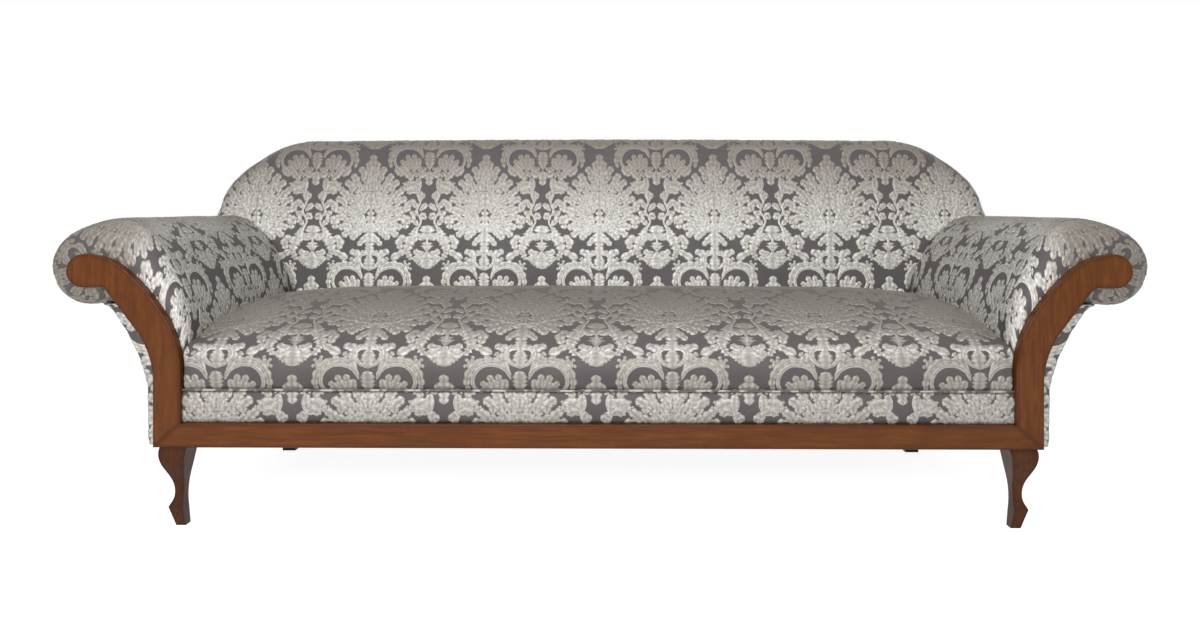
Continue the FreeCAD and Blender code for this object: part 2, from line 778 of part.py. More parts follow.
right_facing = facing(show_edge_radius)
for hole_x, hole_z in facing_screw_places():
    right_facing = right_facing.cut(facing_screw(hole_x, hole_z, fastener_clearance))

post_right = back_post()
top_rail, corner_right = back_arch_pieces()
corner_right = corner_right.cut(post_right)

paired = {
    "arm_facing": right_facing,
    "front_leg": front_leg(),
    "rear_leg": rear_leg(),
    "arm_front_board": arm_front_board(),
    "arm_rear_board": arm_rear_board(),
    "arm_pad": arm_pad(),
    "arm_outside_cover": side_cover(),
    "seat_side_rail": side_rail(),
    "back_post": post_right,
    "back_corner": corner_right,
    "back_arm_rail": back_arm_rail(),
}
for name, shape in paired.items():
    save(name + "_right", shape)
    save(name + "_left", mirrored(shape))

battens = arm_battens()
save("arm_battens_right", battens)
save("arm_battens_left", [mirrored(batten) for batten in battens])

save("seat_front_rail", seat_front_rail())
save("seat_rear_rail", seat_rear_rail())
save("seat_cross_braces", cross_braces())
blocks = [front_corner_block(), rear_leg_block()]
save("corner_blocks", blocks + [mirrored(block) for block in blocks])

bolts = [leg_bolt(front_bolt_x, front_bolt_y, bolt_in_frame),
         leg_bolt(rear_leg_x, rear_leg_y, bolt_in_frame)]
save("leg_bolts", bolts + [mirrored(bolt) for bolt in bolts])
screws = [facing_screw(x, z) for x, z in facing_screw_places()]
save("facing_screws", screws + [mirrored(screw) for screw in screws])

save("zigzag_springs", [zigzag_spring(x) for x in spring_xs()])
clip_rows = [wood_back_y + seat_rail_thickness / 2,
             rear_board_front_y + seat_rail_thickness / 2]
save("spring_clips", [spring_clip(x, y) for y in clip_rows for x in spring_xs()])
save("spring_cover", spring_cover())
save("seat_pad", seat_pad())
save("front_border", front_border())
save("welt_cord", welt())

save("back_lower_rail", back_lower_rail())
save("back_top_rail", top_rail)
save("back_stiles", back_stiles())
save("back_pad", back_pad())
save("back_panel", back_panel())
save("back_webbing", back_webbing())
save("dust_cover", dust_cover())
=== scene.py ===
import bpy
import math
import numpy as np
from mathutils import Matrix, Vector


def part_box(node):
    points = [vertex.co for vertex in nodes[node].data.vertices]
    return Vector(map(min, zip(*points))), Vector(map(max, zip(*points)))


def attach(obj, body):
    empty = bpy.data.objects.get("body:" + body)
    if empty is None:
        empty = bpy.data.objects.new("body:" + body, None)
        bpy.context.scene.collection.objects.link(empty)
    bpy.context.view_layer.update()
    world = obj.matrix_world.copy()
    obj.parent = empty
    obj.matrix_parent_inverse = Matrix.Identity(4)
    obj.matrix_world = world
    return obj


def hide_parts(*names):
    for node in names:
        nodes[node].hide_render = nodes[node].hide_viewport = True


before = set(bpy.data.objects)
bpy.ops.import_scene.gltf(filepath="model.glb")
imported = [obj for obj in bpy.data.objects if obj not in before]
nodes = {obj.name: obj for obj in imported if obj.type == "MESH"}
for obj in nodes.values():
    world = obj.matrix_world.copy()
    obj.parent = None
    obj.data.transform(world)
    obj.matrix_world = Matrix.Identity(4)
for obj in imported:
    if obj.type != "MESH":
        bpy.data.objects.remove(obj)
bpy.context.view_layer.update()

# Places read from the frame, in metres. The sofa faces -Y.
rail_low, rail_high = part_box("front_rail")
front_y = rail_low.y
wood_back_y = rail_high.y
frame_z = rail_low.z
outer_x = -rail_low.x
inner_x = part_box("arm_front_board_right")[0].x
facing_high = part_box("arm_facing_right")[1]
seat_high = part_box("seat_pad")[1]
border_low, border_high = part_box("front_border")
arm_low, arm_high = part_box("arm_pad_right")
back_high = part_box("back_pad")[1]
panel_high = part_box("back_panel")[1]
welt_low, welt_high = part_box("welt_cord")

# The camera stands a little right of the middle, level, and the picture is shifted up.
IMAGE_WIDTH = 1200
FOCAL_PIXELS = 870
HORIZON_ROW = 208
MIDDLE_ROW = 319.5
SENSOR = 36.0
CAMERA_X = 0.029
CAMERA_AHEAD = 1.938         # from the show wood's front
CAMERA_Z = 0.722
CAMERA_TURN = 0.6            # degrees


def make_camera():
    data = bpy.data.cameras.new("camera")
    camera = bpy.data.objects.new("camera", data)
    bpy.context.scene.collection.objects.link(camera)
    data.sensor_width = SENSOR
    data.lens = SENSOR * FOCAL_PIXELS / IMAGE_WIDTH
    data.shift_y = (HORIZON_ROW - MIDDLE_ROW) / IMAGE_WIDTH
    camera.location = (CAMERA_X, front_y - CAMERA_AHEAD, CAMERA_Z)
    camera.rotation_euler = (math.radians(90), 0, math.radians(CAMERA_TURN))
    bpy.context.scene.camera = camera


make_camera()

REPEAT_W = 0.342             # the damask's width of one repeat
UNIT = REPEAT_W / 1000       # the motif is drawn in thousandths of that width
REPEAT_V = 2120 * UNIT

# One column of the damask: x from its axis and y down from the medallion's tip.
# A leaf is its half width, its lobes, and x and y of points from root to tip, or only y
# where it stands on the axis. Side leaves, stems, curls and rosettes are mirrored.
AXIS_LEAVES = (
    (34, 3, 150, 70, -4),
    (44, 4, 285, 200, 120),
    (40, 3, 500, 420, 330),
    (34, 3, 612, 560, 490),
    (30, 2, 655, 590, 530),
    (46, 4, 640, 720, 812),
    (40, 3, 905, 850, 795),
    (44, 4, 868, 930, 1016),
    (44, 5, 1195, 1110, 1030),
    (34, 3, 1196, 1256, 1334),
    (62, 4, 1812, 1750, 1680),
    (13, 0, 1790, 1840, 1890),
    (50, 3, 1905, 1870, 1825),
    (64, 5, 1905, 1980, 2062),
)
SIDE_LEAVES = (
    (20, 3, 76, 520, 92, 450, 84, 372),
    (22, 3, 40, 640, 70, 590, 64, 520),
    (26, 3, 18, 690, 56, 745, 104, 800),
    (24, 3, 20, 560, 60, 575, 110, 560),
    (30, 4, 64, 1050, 108, 960, 98, 900, 128, 848, 172, 872),
    (22, 3, 110, 970, 140, 930, 166, 900),
    (18, 3, 18, 850, 50, 858, 74, 842),
    (24, 8, 84, 1010, 160, 958, 250, 962, 318, 1015, 350, 1105, 338, 1180),
    (24, 4, 200, 975, 214, 948, 206, 922),
    (30, 4, 292, 1150, 276, 1200, 226, 1250),
    (30, 4, 226, 1170, 196, 1225, 138, 1286),
    (24, 3, 150, 1190, 130, 1230, 96, 1252),
    (40, 5, 84, 1300, 132, 1322, 180, 1335, 214, 1372),
    (30, 4, 92, 1400, 140, 1378, 186, 1400),
    (28, 4, 88, 1390, 96, 1330, 92, 1262),
    (26, 4, 84, 1470, 60, 1428, 26, 1432),
    (34, 4, 88, 1545, 128, 1488, 176, 1510, 178, 1566),
    (24, 3, 76, 1560, 40, 1520, 6, 1494),
    (26, 3, 72, 1640, 44, 1592, 22, 1634),
    (26, 3, 60, 1480, 78, 1420, 60, 1380),
    (38, 5, 78, 1690, 132, 1632, 188, 1652, 192, 1716),
    (30, 4, 94, 1600, 120, 1570, 150, 1600),
    (44, 6, 92, 1730, 130, 1780, 160, 1850, 176, 1905),
    (30, 4, 84, 1690, 110, 1750, 104, 1830),
    (34, 4, 154, 1840, 206, 1796, 242, 1834, 224, 1892),
    (30, 2, 184, 1890, 236, 1930, 316, 1972),
    (28, 4, 184, 1880, 162, 1930, 132, 1984),
    (24, 3, 12, 1800, 54, 1792, 96, 1752),
    (28, 3, 36, 1955, 84, 1975, 120, 1955),
    (24, 3, 26, 2000, 60, 2012, 88, 1995),
    (30, 3, 24, 1912, 70, 1926, 114, 1896),
    (26, 3, 34, 500, 54, 430, 50, 352),
    (22, 3, 66, 530, 44, 474, 20, 424),
    (28, 4, 22, 1176, 70, 1196, 104, 1150),
    (28, 4, 16, 1216, 62, 1240, 92, 1206),
    (24, 4, 140, 1204, 104, 1150, 92, 1086),
    (26, 4, 148, 1198, 130, 1130, 146, 1052),
    (26, 4, 158, 1196, 176, 1130, 206, 1058),
    (24, 4, 170, 1200, 214, 1150, 258, 1108),
    (22, 3, 180, 1208, 226, 1190, 272, 1166),
)
# The medallion's frill: its half outline, and for each row of leaves how far in its tips lie,
# the leaves' length, half width and spacing.
MEDALLION = ((30, 40), (70, 84), (118, 110), (160, 140), (196, 190), (240, 232), (262, 290),
             (300, 340), (322, 410), (326, 480), (318, 550), (290, 620), (262, 690), (216, 752),
             (160, 742), (110, 700))
FRILLS = ((0, 128, 33, 88), (92, 112, 27, 76), (162, 96, 25, 76), (216, 80, 24, 72))
FOOT = (0, 640)              # where the frill's leaves fan out from
AXIS_GAP = 22                # no frill leaf ends nearer the axis
CORE = (74, 360, 500)        # nor nearer than the first number between the next two rows
# A stem is its half width and x and y of its points.
SIDE_STEMS = (
    (11, 18, 332, 66, 348, 84, 425, 46, 505),
    (12, 26, 650, 70, 545, 108, 445, 122, 340, 104, 240),
    (20, 60, 1090, 84, 1030, 150, 992, 232, 992, 292, 1040, 312, 1112, 286, 1172,
     236, 1196),
    (22, 8, 870, 62, 872, 92, 915, 62, 972, 2, 1014),
    (13, 84, 1250, 72, 1330, 96, 1410, 72, 1480, 98, 1560, 58, 1640, 90, 1720,
     128, 1800, 188, 1886),
)
# A curl is (x, y, radius, first angle in degrees, turns).
CURLS = (
    (312, 986, 44, 160, 1.5),
    (196, 1352, 40, 200, 1.3),
    (52, 1436, 26, 20, 1.2),
)
# Petals round a curl: x, y, reach, first and last angle in degrees, how many.
ROSETTES = ((312, 986, 62, -150, 60, 5), (196, 1352, 56, -60, 100, 4))
LEAF_STEP = 13.0             # motif units between points along a leaf
PILE_RISE = 0.0013
FULLNESS = 1.42
# A leaf's five points across: place, rise and painted shade, which is 0 at its outline: the
# colour darkens at the leaf's edges and along its middle, as shade in the relief's hollows.
ACROSS = np.array([-1.0, -0.55, 0.0, 0.55, 1.0])
RIDGE = np.array([-0.25, 1.0, 0.5, 1.0, -0.25])
RELIEF_SHADE = np.array([0.1, 1.0, 0.5, 1.0, 0.1])


def clamped(values):
    """Values kept between 0 and 1."""
    return np.clip(values, 0, 1)


def sizes(rows):
    """Each row's length as a vector."""
    return np.linalg.norm(rows, axis=1)


def length_of(points):
    return sizes(np.diff(points, axis=0)).sum()


def run_along(points):
    """How far along a polyline each of its points lies."""
    return np.concatenate([[0], np.cumsum(sizes(np.diff(points, axis=0)))])


def curve_through(points, step=LEAF_STEP):
    """A smooth curve through points, sampled about every step."""
    p = np.reshape(points, (-1, 2)).astype(float)
    p = np.vstack([2 * p[0] - p[1], p, 2 * p[-1] - p[-2]])
    count = max(6, int(length_of(p[1:-1]) / step))
    at = np.linspace(0, len(p) - 3 - 1e-9, count + 1)
    i = at.astype(int)
    t = (at - i)[:, None]
    a, b, c, d = p[i], p[i + 1], p[i + 2], p[i + 3]
    return 0.5 * (2 * b + (c - a) * t + (2 * a - 5 * b + 4 * c - d) * t ** 2
                  + (3 * b - a - 3 * c + d) * t ** 3)


def strip(spine, half_width, lobes):
    """Points, rise, painted relief shade and quads of one leaf or stem along a spine."""
    n = len(spine)
    t = np.linspace(0, 1, n)
    along = np.gradient(spine, axis=0)
    along /= sizes(along)[:, None] + 1e-9
    side = np.stack([-along[:, 1], along[:, 0]], 1)
    if lobes:
        body = np.minimum(1.0, 1.7 * (t + 0.04) ** 0.6 * (1.0 - t + 0.004) ** 0.45)
        notch = (1 - np.abs(np.sin(math.pi * lobes * t))) ** 1.5
        width = FULLNESS * half_width * body * (1.12 - 0.55 * notch)
        push = half_width * 0.55 * (1 - notch) * (1 - t)
        ridge = 1.0 - 0.5 * notch
    else:
        ends = np.minimum(1.0, np.minimum((t + 0.03) / 0.12, (1 - t + 0.02) / 0.2))
        width = half_width * ends * (1.0 - 0.3 * t)
        push = notch = np.zeros(n)
        ridge = np.ones(n)
    flat = (spine[:, None, :] + side[:, None, :] * (width[:, None] * ACROSS)[:, :, None]
            + along[:, None, :] * (push[:, None] * np.abs(ACROSS))[:, :, None])
    rise = np.where(RIDGE > 0, RIDGE * ridge[:, None], RIDGE)
    # Painted shade: the colour also darkens in the notches between the lobes.
    shade_and_flattening = RELIEF_SHADE * (1.0 - 0.55 * notch[:, None])
    i = np.arange(n - 1)[:, None] * 5 + np.arange(4)
    quads = np.stack([i, i + 1, i + 6, i + 5], -1).reshape(-1, 4)
    return flat.reshape(-1, 2), rise.reshape(-1), shade_and_flattening.reshape(-1), quads


def spiral(x, y, radius, first, turns):
    """Points of a curl that winds in to its eye."""
    t = np.linspace(0, 1, 12)
    angle = math.radians(first) + turns * 2 * math.pi * t
    r = radius * (0.78 - 0.62 * t)
    return np.stack([x + r * np.cos(angle), y + r * np.sin(angle)], 1)


def frill(inset, length, half_width, spacing):
    """One row of the medallion's leaves, fanned out from its foot."""
    outline = curve_through(MEDALLION, 8.0)
    run = run_along(outline)
    places = np.arange(spacing * (0.3 + inset % 4 / 6), run[-1], spacing)
    tips = np.stack([np.interp(places, run, outline[:, k]) for k in (0, 1)], 1)
    away = tips - FOOT
    away /= sizes(away)[:, None]
    leaves = []
    for n, (tip, way) in enumerate(zip(tips, away)):
        tip = tip - way * inset
        root = tip - way * length
        if tip[0] < AXIS_GAP or (tip[0] < CORE[0] and CORE[1] < tip[1] < CORE[2]):
            continue
        droop = np.array([-way[1], way[0]]) * (0.22 if n % 2 else 0.12) * length
        middle = (tip + root) / 2 - droop
        leaves.append(strip(curve_through((root, middle, tip)), half_width, 3))
    return leaves


def damask_column():
    """Cloth coordinates, rise, painted relief shade and quads of one column's motif, tip at the
    origin.
    """
    strips = [strip(curve_through([(0, y) for y in ys]), w, lobes)
              for w, lobes, *ys in AXIS_LEAVES]
    half = [strip(curve_through(p), w, lobes) for w, lobes, *p in SIDE_LEAVES]
    half += [strip(curve_through(p), w, 0) for w, *p in SIDE_STEMS]
    for x, y, reach, first, last, count in ROSETTES:
        for angle in np.radians(np.linspace(first, last, count)):
            way = np.array([math.cos(angle), math.sin(angle)])
            bend = np.array([-way[1], way[0]]) * reach * 0.12
            spine = ((x, y) + way * reach * 0.3, (x, y) + way * reach * 0.66 + bend,
                     (x, y) + way * reach)
            half.append(strip(curve_through(spine), reach * 0.19, 2))
    for row in FRILLS:
        half += frill(*row)
    for x, y, radius, first, turns in CURLS:
        points = spiral(x, y, radius, first, turns)
        half.append(strip(curve_through(points), radius * 0.34, 7))
    for flat, rise, shade_and_flattening, quads in half:
        strips.append((flat, rise, shade_and_flattening, quads))
        strips.append((flat * (-1, 1), rise, shade_and_flattening, quads[:, ::-1]))
    # Neighbours differ a little in height, so that no two leaves share a face.
    parts, start = [], 0
    for n, (flat, rise, shade_and_flattening, quads) in enumerate(strips):
        parts.append((flat, rise * (0.8 + 0.05 * (n % 9)), shade_and_flattening, quads + start))
        start += len(flat)
    flat, rise, shade_and_flattening, faces = (np.concatenate(part) for part in zip(*parts))
    return flat * (UNIT, -UNIT), rise * PILE_RISE, shade_and_flattening, faces


CLOTH_MAP = "cloth"          # u and v in metres, for the weave
BAKE_MAP = "OFBake"          # the same, scaled into a square


class Cloth:
    """A covered surface: a grid of points over cloth coordinates u and v."""

    def __init__(self, us, vs, points, flip=False):
        self.us = us
        self.vs = vs
        self.flip = flip
        self.reshape_to(points)

    def reshape_to(self, points):
        self.points = points
        along_u = np.gradient(points, axis=0)
        along_v = np.gradient(points, axis=1)
        normal = np.cross(along_u, along_v)
        size = np.linalg.norm(normal, axis=2)
        normal /= np.maximum(size, 1e-12)[:, :, None]
        self.normals = -normal if self.flip else normal

    def at(self, u, v, rise=0.0):
        """Places of cloth coordinates, raised along the surface's normal."""
        normal = read_grid(self.us, self.vs, self.normals, u, v)
        normal /= np.maximum(sizes(normal), 1e-9)[:, None]
        flush = read_grid(self.us, self.vs, self.points, u, v)
        return flush + normal * np.reshape(rise, (-1, 1))

    def places(self):
        """U and v of every grid point."""
        return np.meshgrid(self.us, self.vs, indexing="ij")


def read_grid(us, vs, grid, u, v):
    """Values between a grid's points, for lists of u and v."""
    fu = (np.clip(u, us[0], us[-1]) - us[0]) / (us[1] - us[0])
    fv = (np.clip(v, vs[0], vs[-1]) - vs[0]) / (vs[1] - vs[0])
    i = np.minimum(fu.astype(int), len(us) - 2)
    j = np.minimum(fv.astype(int), len(vs) - 2)
    s = (fu - i)[:, None]
    t = (fv - j)[:, None]
    low = grid[i, j] * (1 - s) + grid[i + 1, j] * s
    high = grid[i, j + 1] * (1 - s) + grid[i + 1, j + 1] * s
    return low * (1 - t) + high * t


def steps(start, end, size):
    """Even places from start to end, about a size apart."""
    return np.linspace(start, end, max(2, int(round((end - start) / size)) + 1))


def along(points, places):
    """Points at given lengths along a polyline."""
    run = run_along(points)
    return np.stack([np.interp(places, run, points[:, k]) for k in range(points.shape[1])], -1)


def tangent_path(start, stops, step=0.003):
    """Points along lines and tangent arcs.

    A stop is (kind, x, z). The kind is line, arc, or head, which only sets the direction.
    """
    at = np.array(start, float)
    heading = np.array([0.0, 1.0])
    points = [at]
    for kind, x, z in stops:
        to = np.array([x, z], float)
        if kind == "head":
            heading = to / np.linalg.norm(to)
            continue
        chord = to - at
        count = max(2, int(np.linalg.norm(chord) / step))
        share = np.linspace(0, 1, count + 1)[1:]
        if kind == "line":
            heading = chord / np.linalg.norm(chord)
            points += list(at + chord * share[:, None])
        else:
            side = np.array([heading[1], -heading[0]])
            radius = chord @ chord / (2 * (chord @ side))
            centre = at + side * radius
            turn = 2 * math.atan2(chord @ side, chord @ heading)
            c = np.cos(turn * share)
            s = np.sin(turn * share)
            x, z = at - centre
            points += list(centre + np.stack([x * c + z * s, z * c - x * s], 1))
            x, z = heading
            heading = np.array([x * c[-1] + z * s[-1], z * c[-1] - x * s[-1]])
        at = to
    return np.array(points)


def arc_through(a, b, c, count):
    """Points along the circle arc through three places in a plane."""
    a, b, c = (np.array(p, float) for p in (a, b, c))
    d = 2 * (a[0] * (b[1] - c[1]) + b[0] * (c[1] - a[1]) + c[0] * (a[1] - b[1]))
    aa, bb, cc = a @ a, b @ b, c @ c
    centre = np.array([(aa * (b[1] - c[1]) + bb * (c[1] - a[1]) + cc * (a[1] - b[1])) / d,
                       (aa * (c[0] - b[0]) + bb * (a[0] - c[0]) + cc * (b[0] - a[0])) / d])
    first, middle, last = (math.atan2(*(p - centre)[::-1]) for p in (a, b, c))
    turn = (last - first) % (2 * math.pi)
    if (middle - first) % (2 * math.pi) > turn:
        turn -= 2 * math.pi
    angle = first + turn * np.linspace(0, 1, count)
    radius = np.linalg.norm(a - centre)
    return centre + radius * np.stack([np.cos(angle), np.sin(angle)], 1)


def arcs(start, *turns):
    """Points along arcs in a row; a turn is (middle, end, count)."""
    points = [[start]]
    for middle, end, count in turns:
        points.append(arc_through(points[-1][-1], middle, end, count)[1:])
    return np.concatenate(points)


def smooth_noise(shape, cells, seed):
    """Soft random relief from -1 to 1 over a grid, made of a few large cells."""
    rng = np.random.default_rng(seed)
    coarse = rng.uniform(-1, 1, (cells[0] + 3, cells[1] + 3))
    x = np.linspace(0, cells[0], shape[0])
    y = np.linspace(0, cells[1], shape[1])

    def weights(p):
        i = np.minimum(p.astype(int), int(p[-1]))
        t = p - i
        return i, np.stack([(1 - t) ** 3, 3 * t ** 3 - 6 * t ** 2 + 4,
                            -3 * t ** 3 + 3 * t ** 2 + 3 * t + 1, t ** 3]) / 6

    i, wx = weights(x)
    j, wy = weights(y)
    out = np.zeros(shape)
    for a in range(4):
        for b in range(4):
            out += np.outer(wx[a], wy[b]) * coarse[np.minimum(i + a, cells[0] + 2)][
                :, np.minimum(j + b, cells[1] + 2)]
    return out


def raised(cloth, height):
    """Move a cloth's grid along its normals."""
    cloth.reshape_to(cloth.points + cloth.normals * height[:, :, None])


SIM_CELL = 0.022
SIM_FRAMES = 20
SIM_PRESSURE = 2.0
HELD_EDGE = 0.03             # cloth that a seam keeps from swelling


def swell(cloth, cap, held):
    """Cloth held at its edges swells over its stuffing, no further than a cap.

    Held says which places stay, for lists of u and v.
    """
    us = steps(cloth.us[0], cloth.us[-1], SIM_CELL)
    vs = steps(cloth.vs[0], cloth.vs[-1], SIM_CELL)
    u, v = (a.ravel() for a in np.meshgrid(us, vs, indexing="ij"))
    start = cloth.at(u, v)
    quads = open_quads(start, grid_quads(len(us), len(vs), cloth.flip))
    ob = mesh_object("swelling", start, quads)
    group = ob.vertex_groups.new(name="held")
    group.add([int(n) for n in np.flatnonzero(held(u, v))], 1.0, "ADD")
    sim = ob.modifiers.new("cloth", "CLOTH")
    sim.settings.quality = 5
    sim.settings.mass = 0.3
    sim.settings.use_pressure = True
    sim.settings.uniform_pressure_force = SIM_PRESSURE
    sim.settings.vertex_group_mass = "held"
    sim.settings.effector_weights.gravity = 0
    sim.settings.bending_stiffness = 2.0
    sim.collision_settings.use_collision = False
    sim.point_cache.frame_start = 1
    sim.point_cache.frame_end = SIM_FRAMES
    for number in range(1, SIM_FRAMES + 1):
        bpy.context.scene.frame_set(number)
    shown = ob.evaluated_get(bpy.context.evaluated_depsgraph_get())
    after = np.zeros(len(start) * 3)
    shown.data.vertices.foreach_get("co", after)
    bpy.context.scene.frame_set(1)
    normal = cloth.at(u, v, 1.0) - start
    push = np.einsum("ij,ij->i", after.reshape(-1, 3) - start, normal)
    push = cap * np.tanh(push / cap)
    data = ob.data
    bpy.data.objects.remove(ob)
    bpy.data.meshes.remove(data)
    fine_u, fine_v = cloth.places()
    push = push.reshape(len(us), len(vs), 1)
    height = read_grid(us, vs, push, fine_u.ravel(), fine_v.ravel())
    raised(cloth, height.reshape(fine_u.shape))


LEAST_AREA = 1e-9
MOST_STRETCH = 2.5


def open_quads(points, quads, uv=None):
    """The quads that have an area and, on the cloth, aren't pulled out of shape."""
    across = points[quads[:, 2]] - points[quads[:, 0]]
    other = points[quads[:, 3]] - points[quads[:, 1]]
    kept = sizes(np.cross(across, other)) > LEAST_AREA
    if uv is not None:
        for far, a, b in ((across, 2, 0), (other, 3, 1)):
            flat = sizes(uv[quads[:, a]] - uv[quads[:, b]])
            kept &= sizes(far) < MOST_STRETCH * flat + 0.003
    return quads[kept]


def grid_quads(nu, nv, flip):
    i = np.arange(nu - 1)[:, None] * nv + np.arange(nv - 1)
    quads = np.stack([i, i + nv, i + nv + 1, i + 1], -1).reshape(-1, 4)
    return quads[:, ::-1] if flip else quads


def mesh_object(name, points, quads, uv=None, slots=None, shade_and_flattening=None):
    """A smooth-shaded mesh; uv is one pair per point and slots one number per face."""
    data = bpy.data.meshes.new(name)
    data.vertices.add(len(points))
    data.vertices.foreach_set("co", np.ascontiguousarray(points, np.float32).ravel())
    data.loops.add(quads.size)
    data.loops.foreach_set("vertex_index", np.ascontiguousarray(quads, np.int32).ravel())
    data.polygons.add(len(quads))
    data.polygons.foreach_set("loop_start", np.arange(0, quads.size, 4, dtype=np.int32))
    data.update(calc_edges=True)
    data.polygons.foreach_set("use_smooth", np.ones(len(quads), bool))
    if slots is not None:
        data.polygons.foreach_set("material_index", np.ascontiguousarray(slots, np.int32))
    if uv is not None:
        unit = (uv - uv.min(0)) / np.ptp(uv, axis=0).max()
        for title, pairs in ((CLOTH_MAP, uv), (BAKE_MAP, unit)):
            layer = data.uv_layers.new(name=title)
            pairs = np.ascontiguousarray(pairs[quads.ravel()], np.float32)
            layer.data.foreach_set("uv", pairs.ravel())
        layer = data.uv_layers[CLOTH_MAP]
        layer.active_render = True
        data.uv_layers.active = layer
    # One value per point of painted shade, with flattened pile on the arms, that darkens the
    # figure's colour.
    if shade_and_flattening is not None:
        layer = data.attributes.new("shade_and_flattening", "FLOAT", "POINT")
        layer.data.foreach_set("value", shade_and_flattening.astype(np.float32))
    ob = bpy.data.objects.new(name, data)
    bpy.context.scene.collection.objects.link(ob)
    return ob


def damask_on(cloth, axis_u, tip_v, low, high):
    """The damask over a cloth's span, from one column's axis and medallion tip."""
    column_uv, column_rise, column_shade_and_flattening, column_quads = damask_column()
    parts, start = [], 0
    first = math.floor((low[0] - axis_u) / (REPEAT_W / 2)) - 1
    last = math.ceil((high[0] - axis_u) / (REPEAT_W / 2)) + 1
    for column in range(first, last + 1):
        drop = REPEAT_V / 2 * (column % 2)
        row = math.floor((low[1] - tip_v - drop) / REPEAT_V)
        top = math.ceil((high[1] - tip_v - drop) / REPEAT_V) + 1
        for repeat in range(row, top + 1):
            shift = (axis_u + column * REPEAT_W / 2, tip_v + drop + repeat * REPEAT_V)
            uv = column_uv + shift
            inside = np.all((uv > low) & (uv < high), axis=1)
            kept = column_quads[inside[column_quads].any(axis=1)]
            if not len(kept):
                continue
            used = np.unique(kept)
            renumber = np.zeros(len(uv), int)
            renumber[used] = np.arange(len(used)) + start
            parts.append((np.clip(uv[used], low, high), column_rise[used], column_shade_and_flattening[used],
                          renumber[kept]))
            start += len(used)
    return [np.concatenate(part) for part in zip(*parts)]


def cover(name, cloth, cell, axis_u, tip_v, replaced, shade_and_flat_pile=None):
    """A piece's cloth, ground and damask in one mesh, in place of its CAD nodes.

    Shade_and_flat_pile gives how much of the figure's brightness is left, for lists of u and v:
    painted shade on the seat's front, the border and the back's top, and flattened pile round
    the arms' scrolls.
    """
    us = steps(cloth.us[0], cloth.us[-1], cell[0])
    vs = steps(cloth.vs[0], cloth.vs[-1], cell[1])
    u, v = (a.ravel() for a in np.meshgrid(us, vs, indexing="ij"))
    low = np.array([us[0], vs[0]])
    high = np.array([us[-1], vs[-1]])
    ground = cloth.at(u, v)
    flat = np.stack([u, v], 1)
    ground_quads = open_quads(ground, grid_quads(len(us), len(vs), False), flat)
    uv, rise, shade_and_flattening, quads = damask_on(cloth, axis_u, tip_v, low, high)
    # Painted shade, and flattened pile on the arms, darken the figure.
    if shade_and_flat_pile:
        shade_and_flattening = shade_and_flattening * shade_and_flat_pile(uv[:, 0], uv[:, 1])
    pile = cloth.at(uv[:, 0], uv[:, 1], rise)
    quads = open_quads(pile, quads, uv)
    points = np.concatenate([ground, pile])
    faces = np.concatenate([ground_quads, quads + len(ground)])
    slots = np.concatenate([np.zeros(len(ground_quads), int), np.ones(len(quads), int)])
    if cloth.flip:
        faces = faces[:, ::-1]
    shade_and_flattening = np.concatenate([np.ones(len(ground)), shade_and_flattening])
    ob = mesh_object(name, points, faces, np.concatenate([flat, uv]), slots, shade_and_flattening)
    ob.data.materials.append(damask_ground)
    ob.data.materials.append(damask_pile)
    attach(ob, "root")
    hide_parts(*replaced)


# Seat: a crowned bench over the springs, tucked in at the welt, the arms and the back.
SEAT_CROWN_RISE = 0.088
SEAT_SIDE_RISE = 0.039
SEAT_LIP_BULGE = 0.008
SEAT_TIP_V = 107 * UNIT      # the medallion's tip above the welt
seat_half = seat_high.x
seat_front = (welt_low.y + welt_high.y) / 2
seat_lip_z = welt_high.z
seat_shoulder_z = seat_high.z - SEAT_CROWN_RISE
seat_rear_y = seat_high.y
seat_rear_z = seat_shoulder_z + 0.028


def seat_section(x):
    """The seat's side section at a place along its width, welt to back."""
    edge = min(1.0, abs(x) / seat_half)
    lift = math.sqrt(1.0 - edge ** 6)
    crown = seat_shoulder_z + SEAT_SIDE_RISE + (SEAT_CROWN_RISE - SEAT_SIDE_RISE) * lift
    shoulder = seat_shoulder_z - 0.003 * (1.0 - lift)
    front = seat_front
    belly_z = (seat_lip_z + shoulder) / 2 - 0.006
    return arcs(
        (front + 0.006, seat_lip_z - 0.002),
        ((front + 0.001, seat_lip_z + 0.004), (front - 0.002, seat_lip_z + 0.012), 6),
        ((front - SEAT_LIP_BULGE * lift, belly_z), (front + 0.003, shoulder - 0.02), 24),
        ((front + 0.011, shoulder - 0.008), (front + 0.027, shoulder), 12),
        (((front + seat_rear_y) / 2, crown), (seat_rear_y - 0.01, seat_rear_z), 60),
        ((seat_rear_y, seat_rear_z - 0.005), (seat_rear_y + 0.002, seat_rear_z - 0.02), 6))


def seat_cloth():
    us = steps(-seat_half, seat_half, 0.006)
    middle = length_of(seat_section(0.0))
    vs = steps(0.0, middle, 0.004)
    grid = []
    for x in us:
        section = seat_section(x)
        section = softened(along(section, vs / middle * length_of(section)), 3)
        grid.append(np.column_stack([np.full(len(vs), x), section]))
    return Cloth(us, vs, np.array(grid))


def softened(points, rounds):
    """A polyline with its corners eased, its ends kept."""
    points = points.copy()
    for _ in range(rounds):
        points[1:-1] = points[1:-1] / 2 + (points[:-2] + points[2:]) / 4
    return points


def seat_cover():
    cloth = seat_cloth()
    swell(cloth, 0.006, lambda u, v: (np.abs(u) > seat_half - HELD_EDGE)
          | (v < HELD_EDGE / 2) | (v > cloth.vs[-1] - HELD_EDGE))
    raised(cloth, seat_dimples(cloth))
    cover("seat_cover", cloth, (0.007, 0.006), 0.0, SEAT_TIP_V, ["seat_pad"], seat_front_shade)


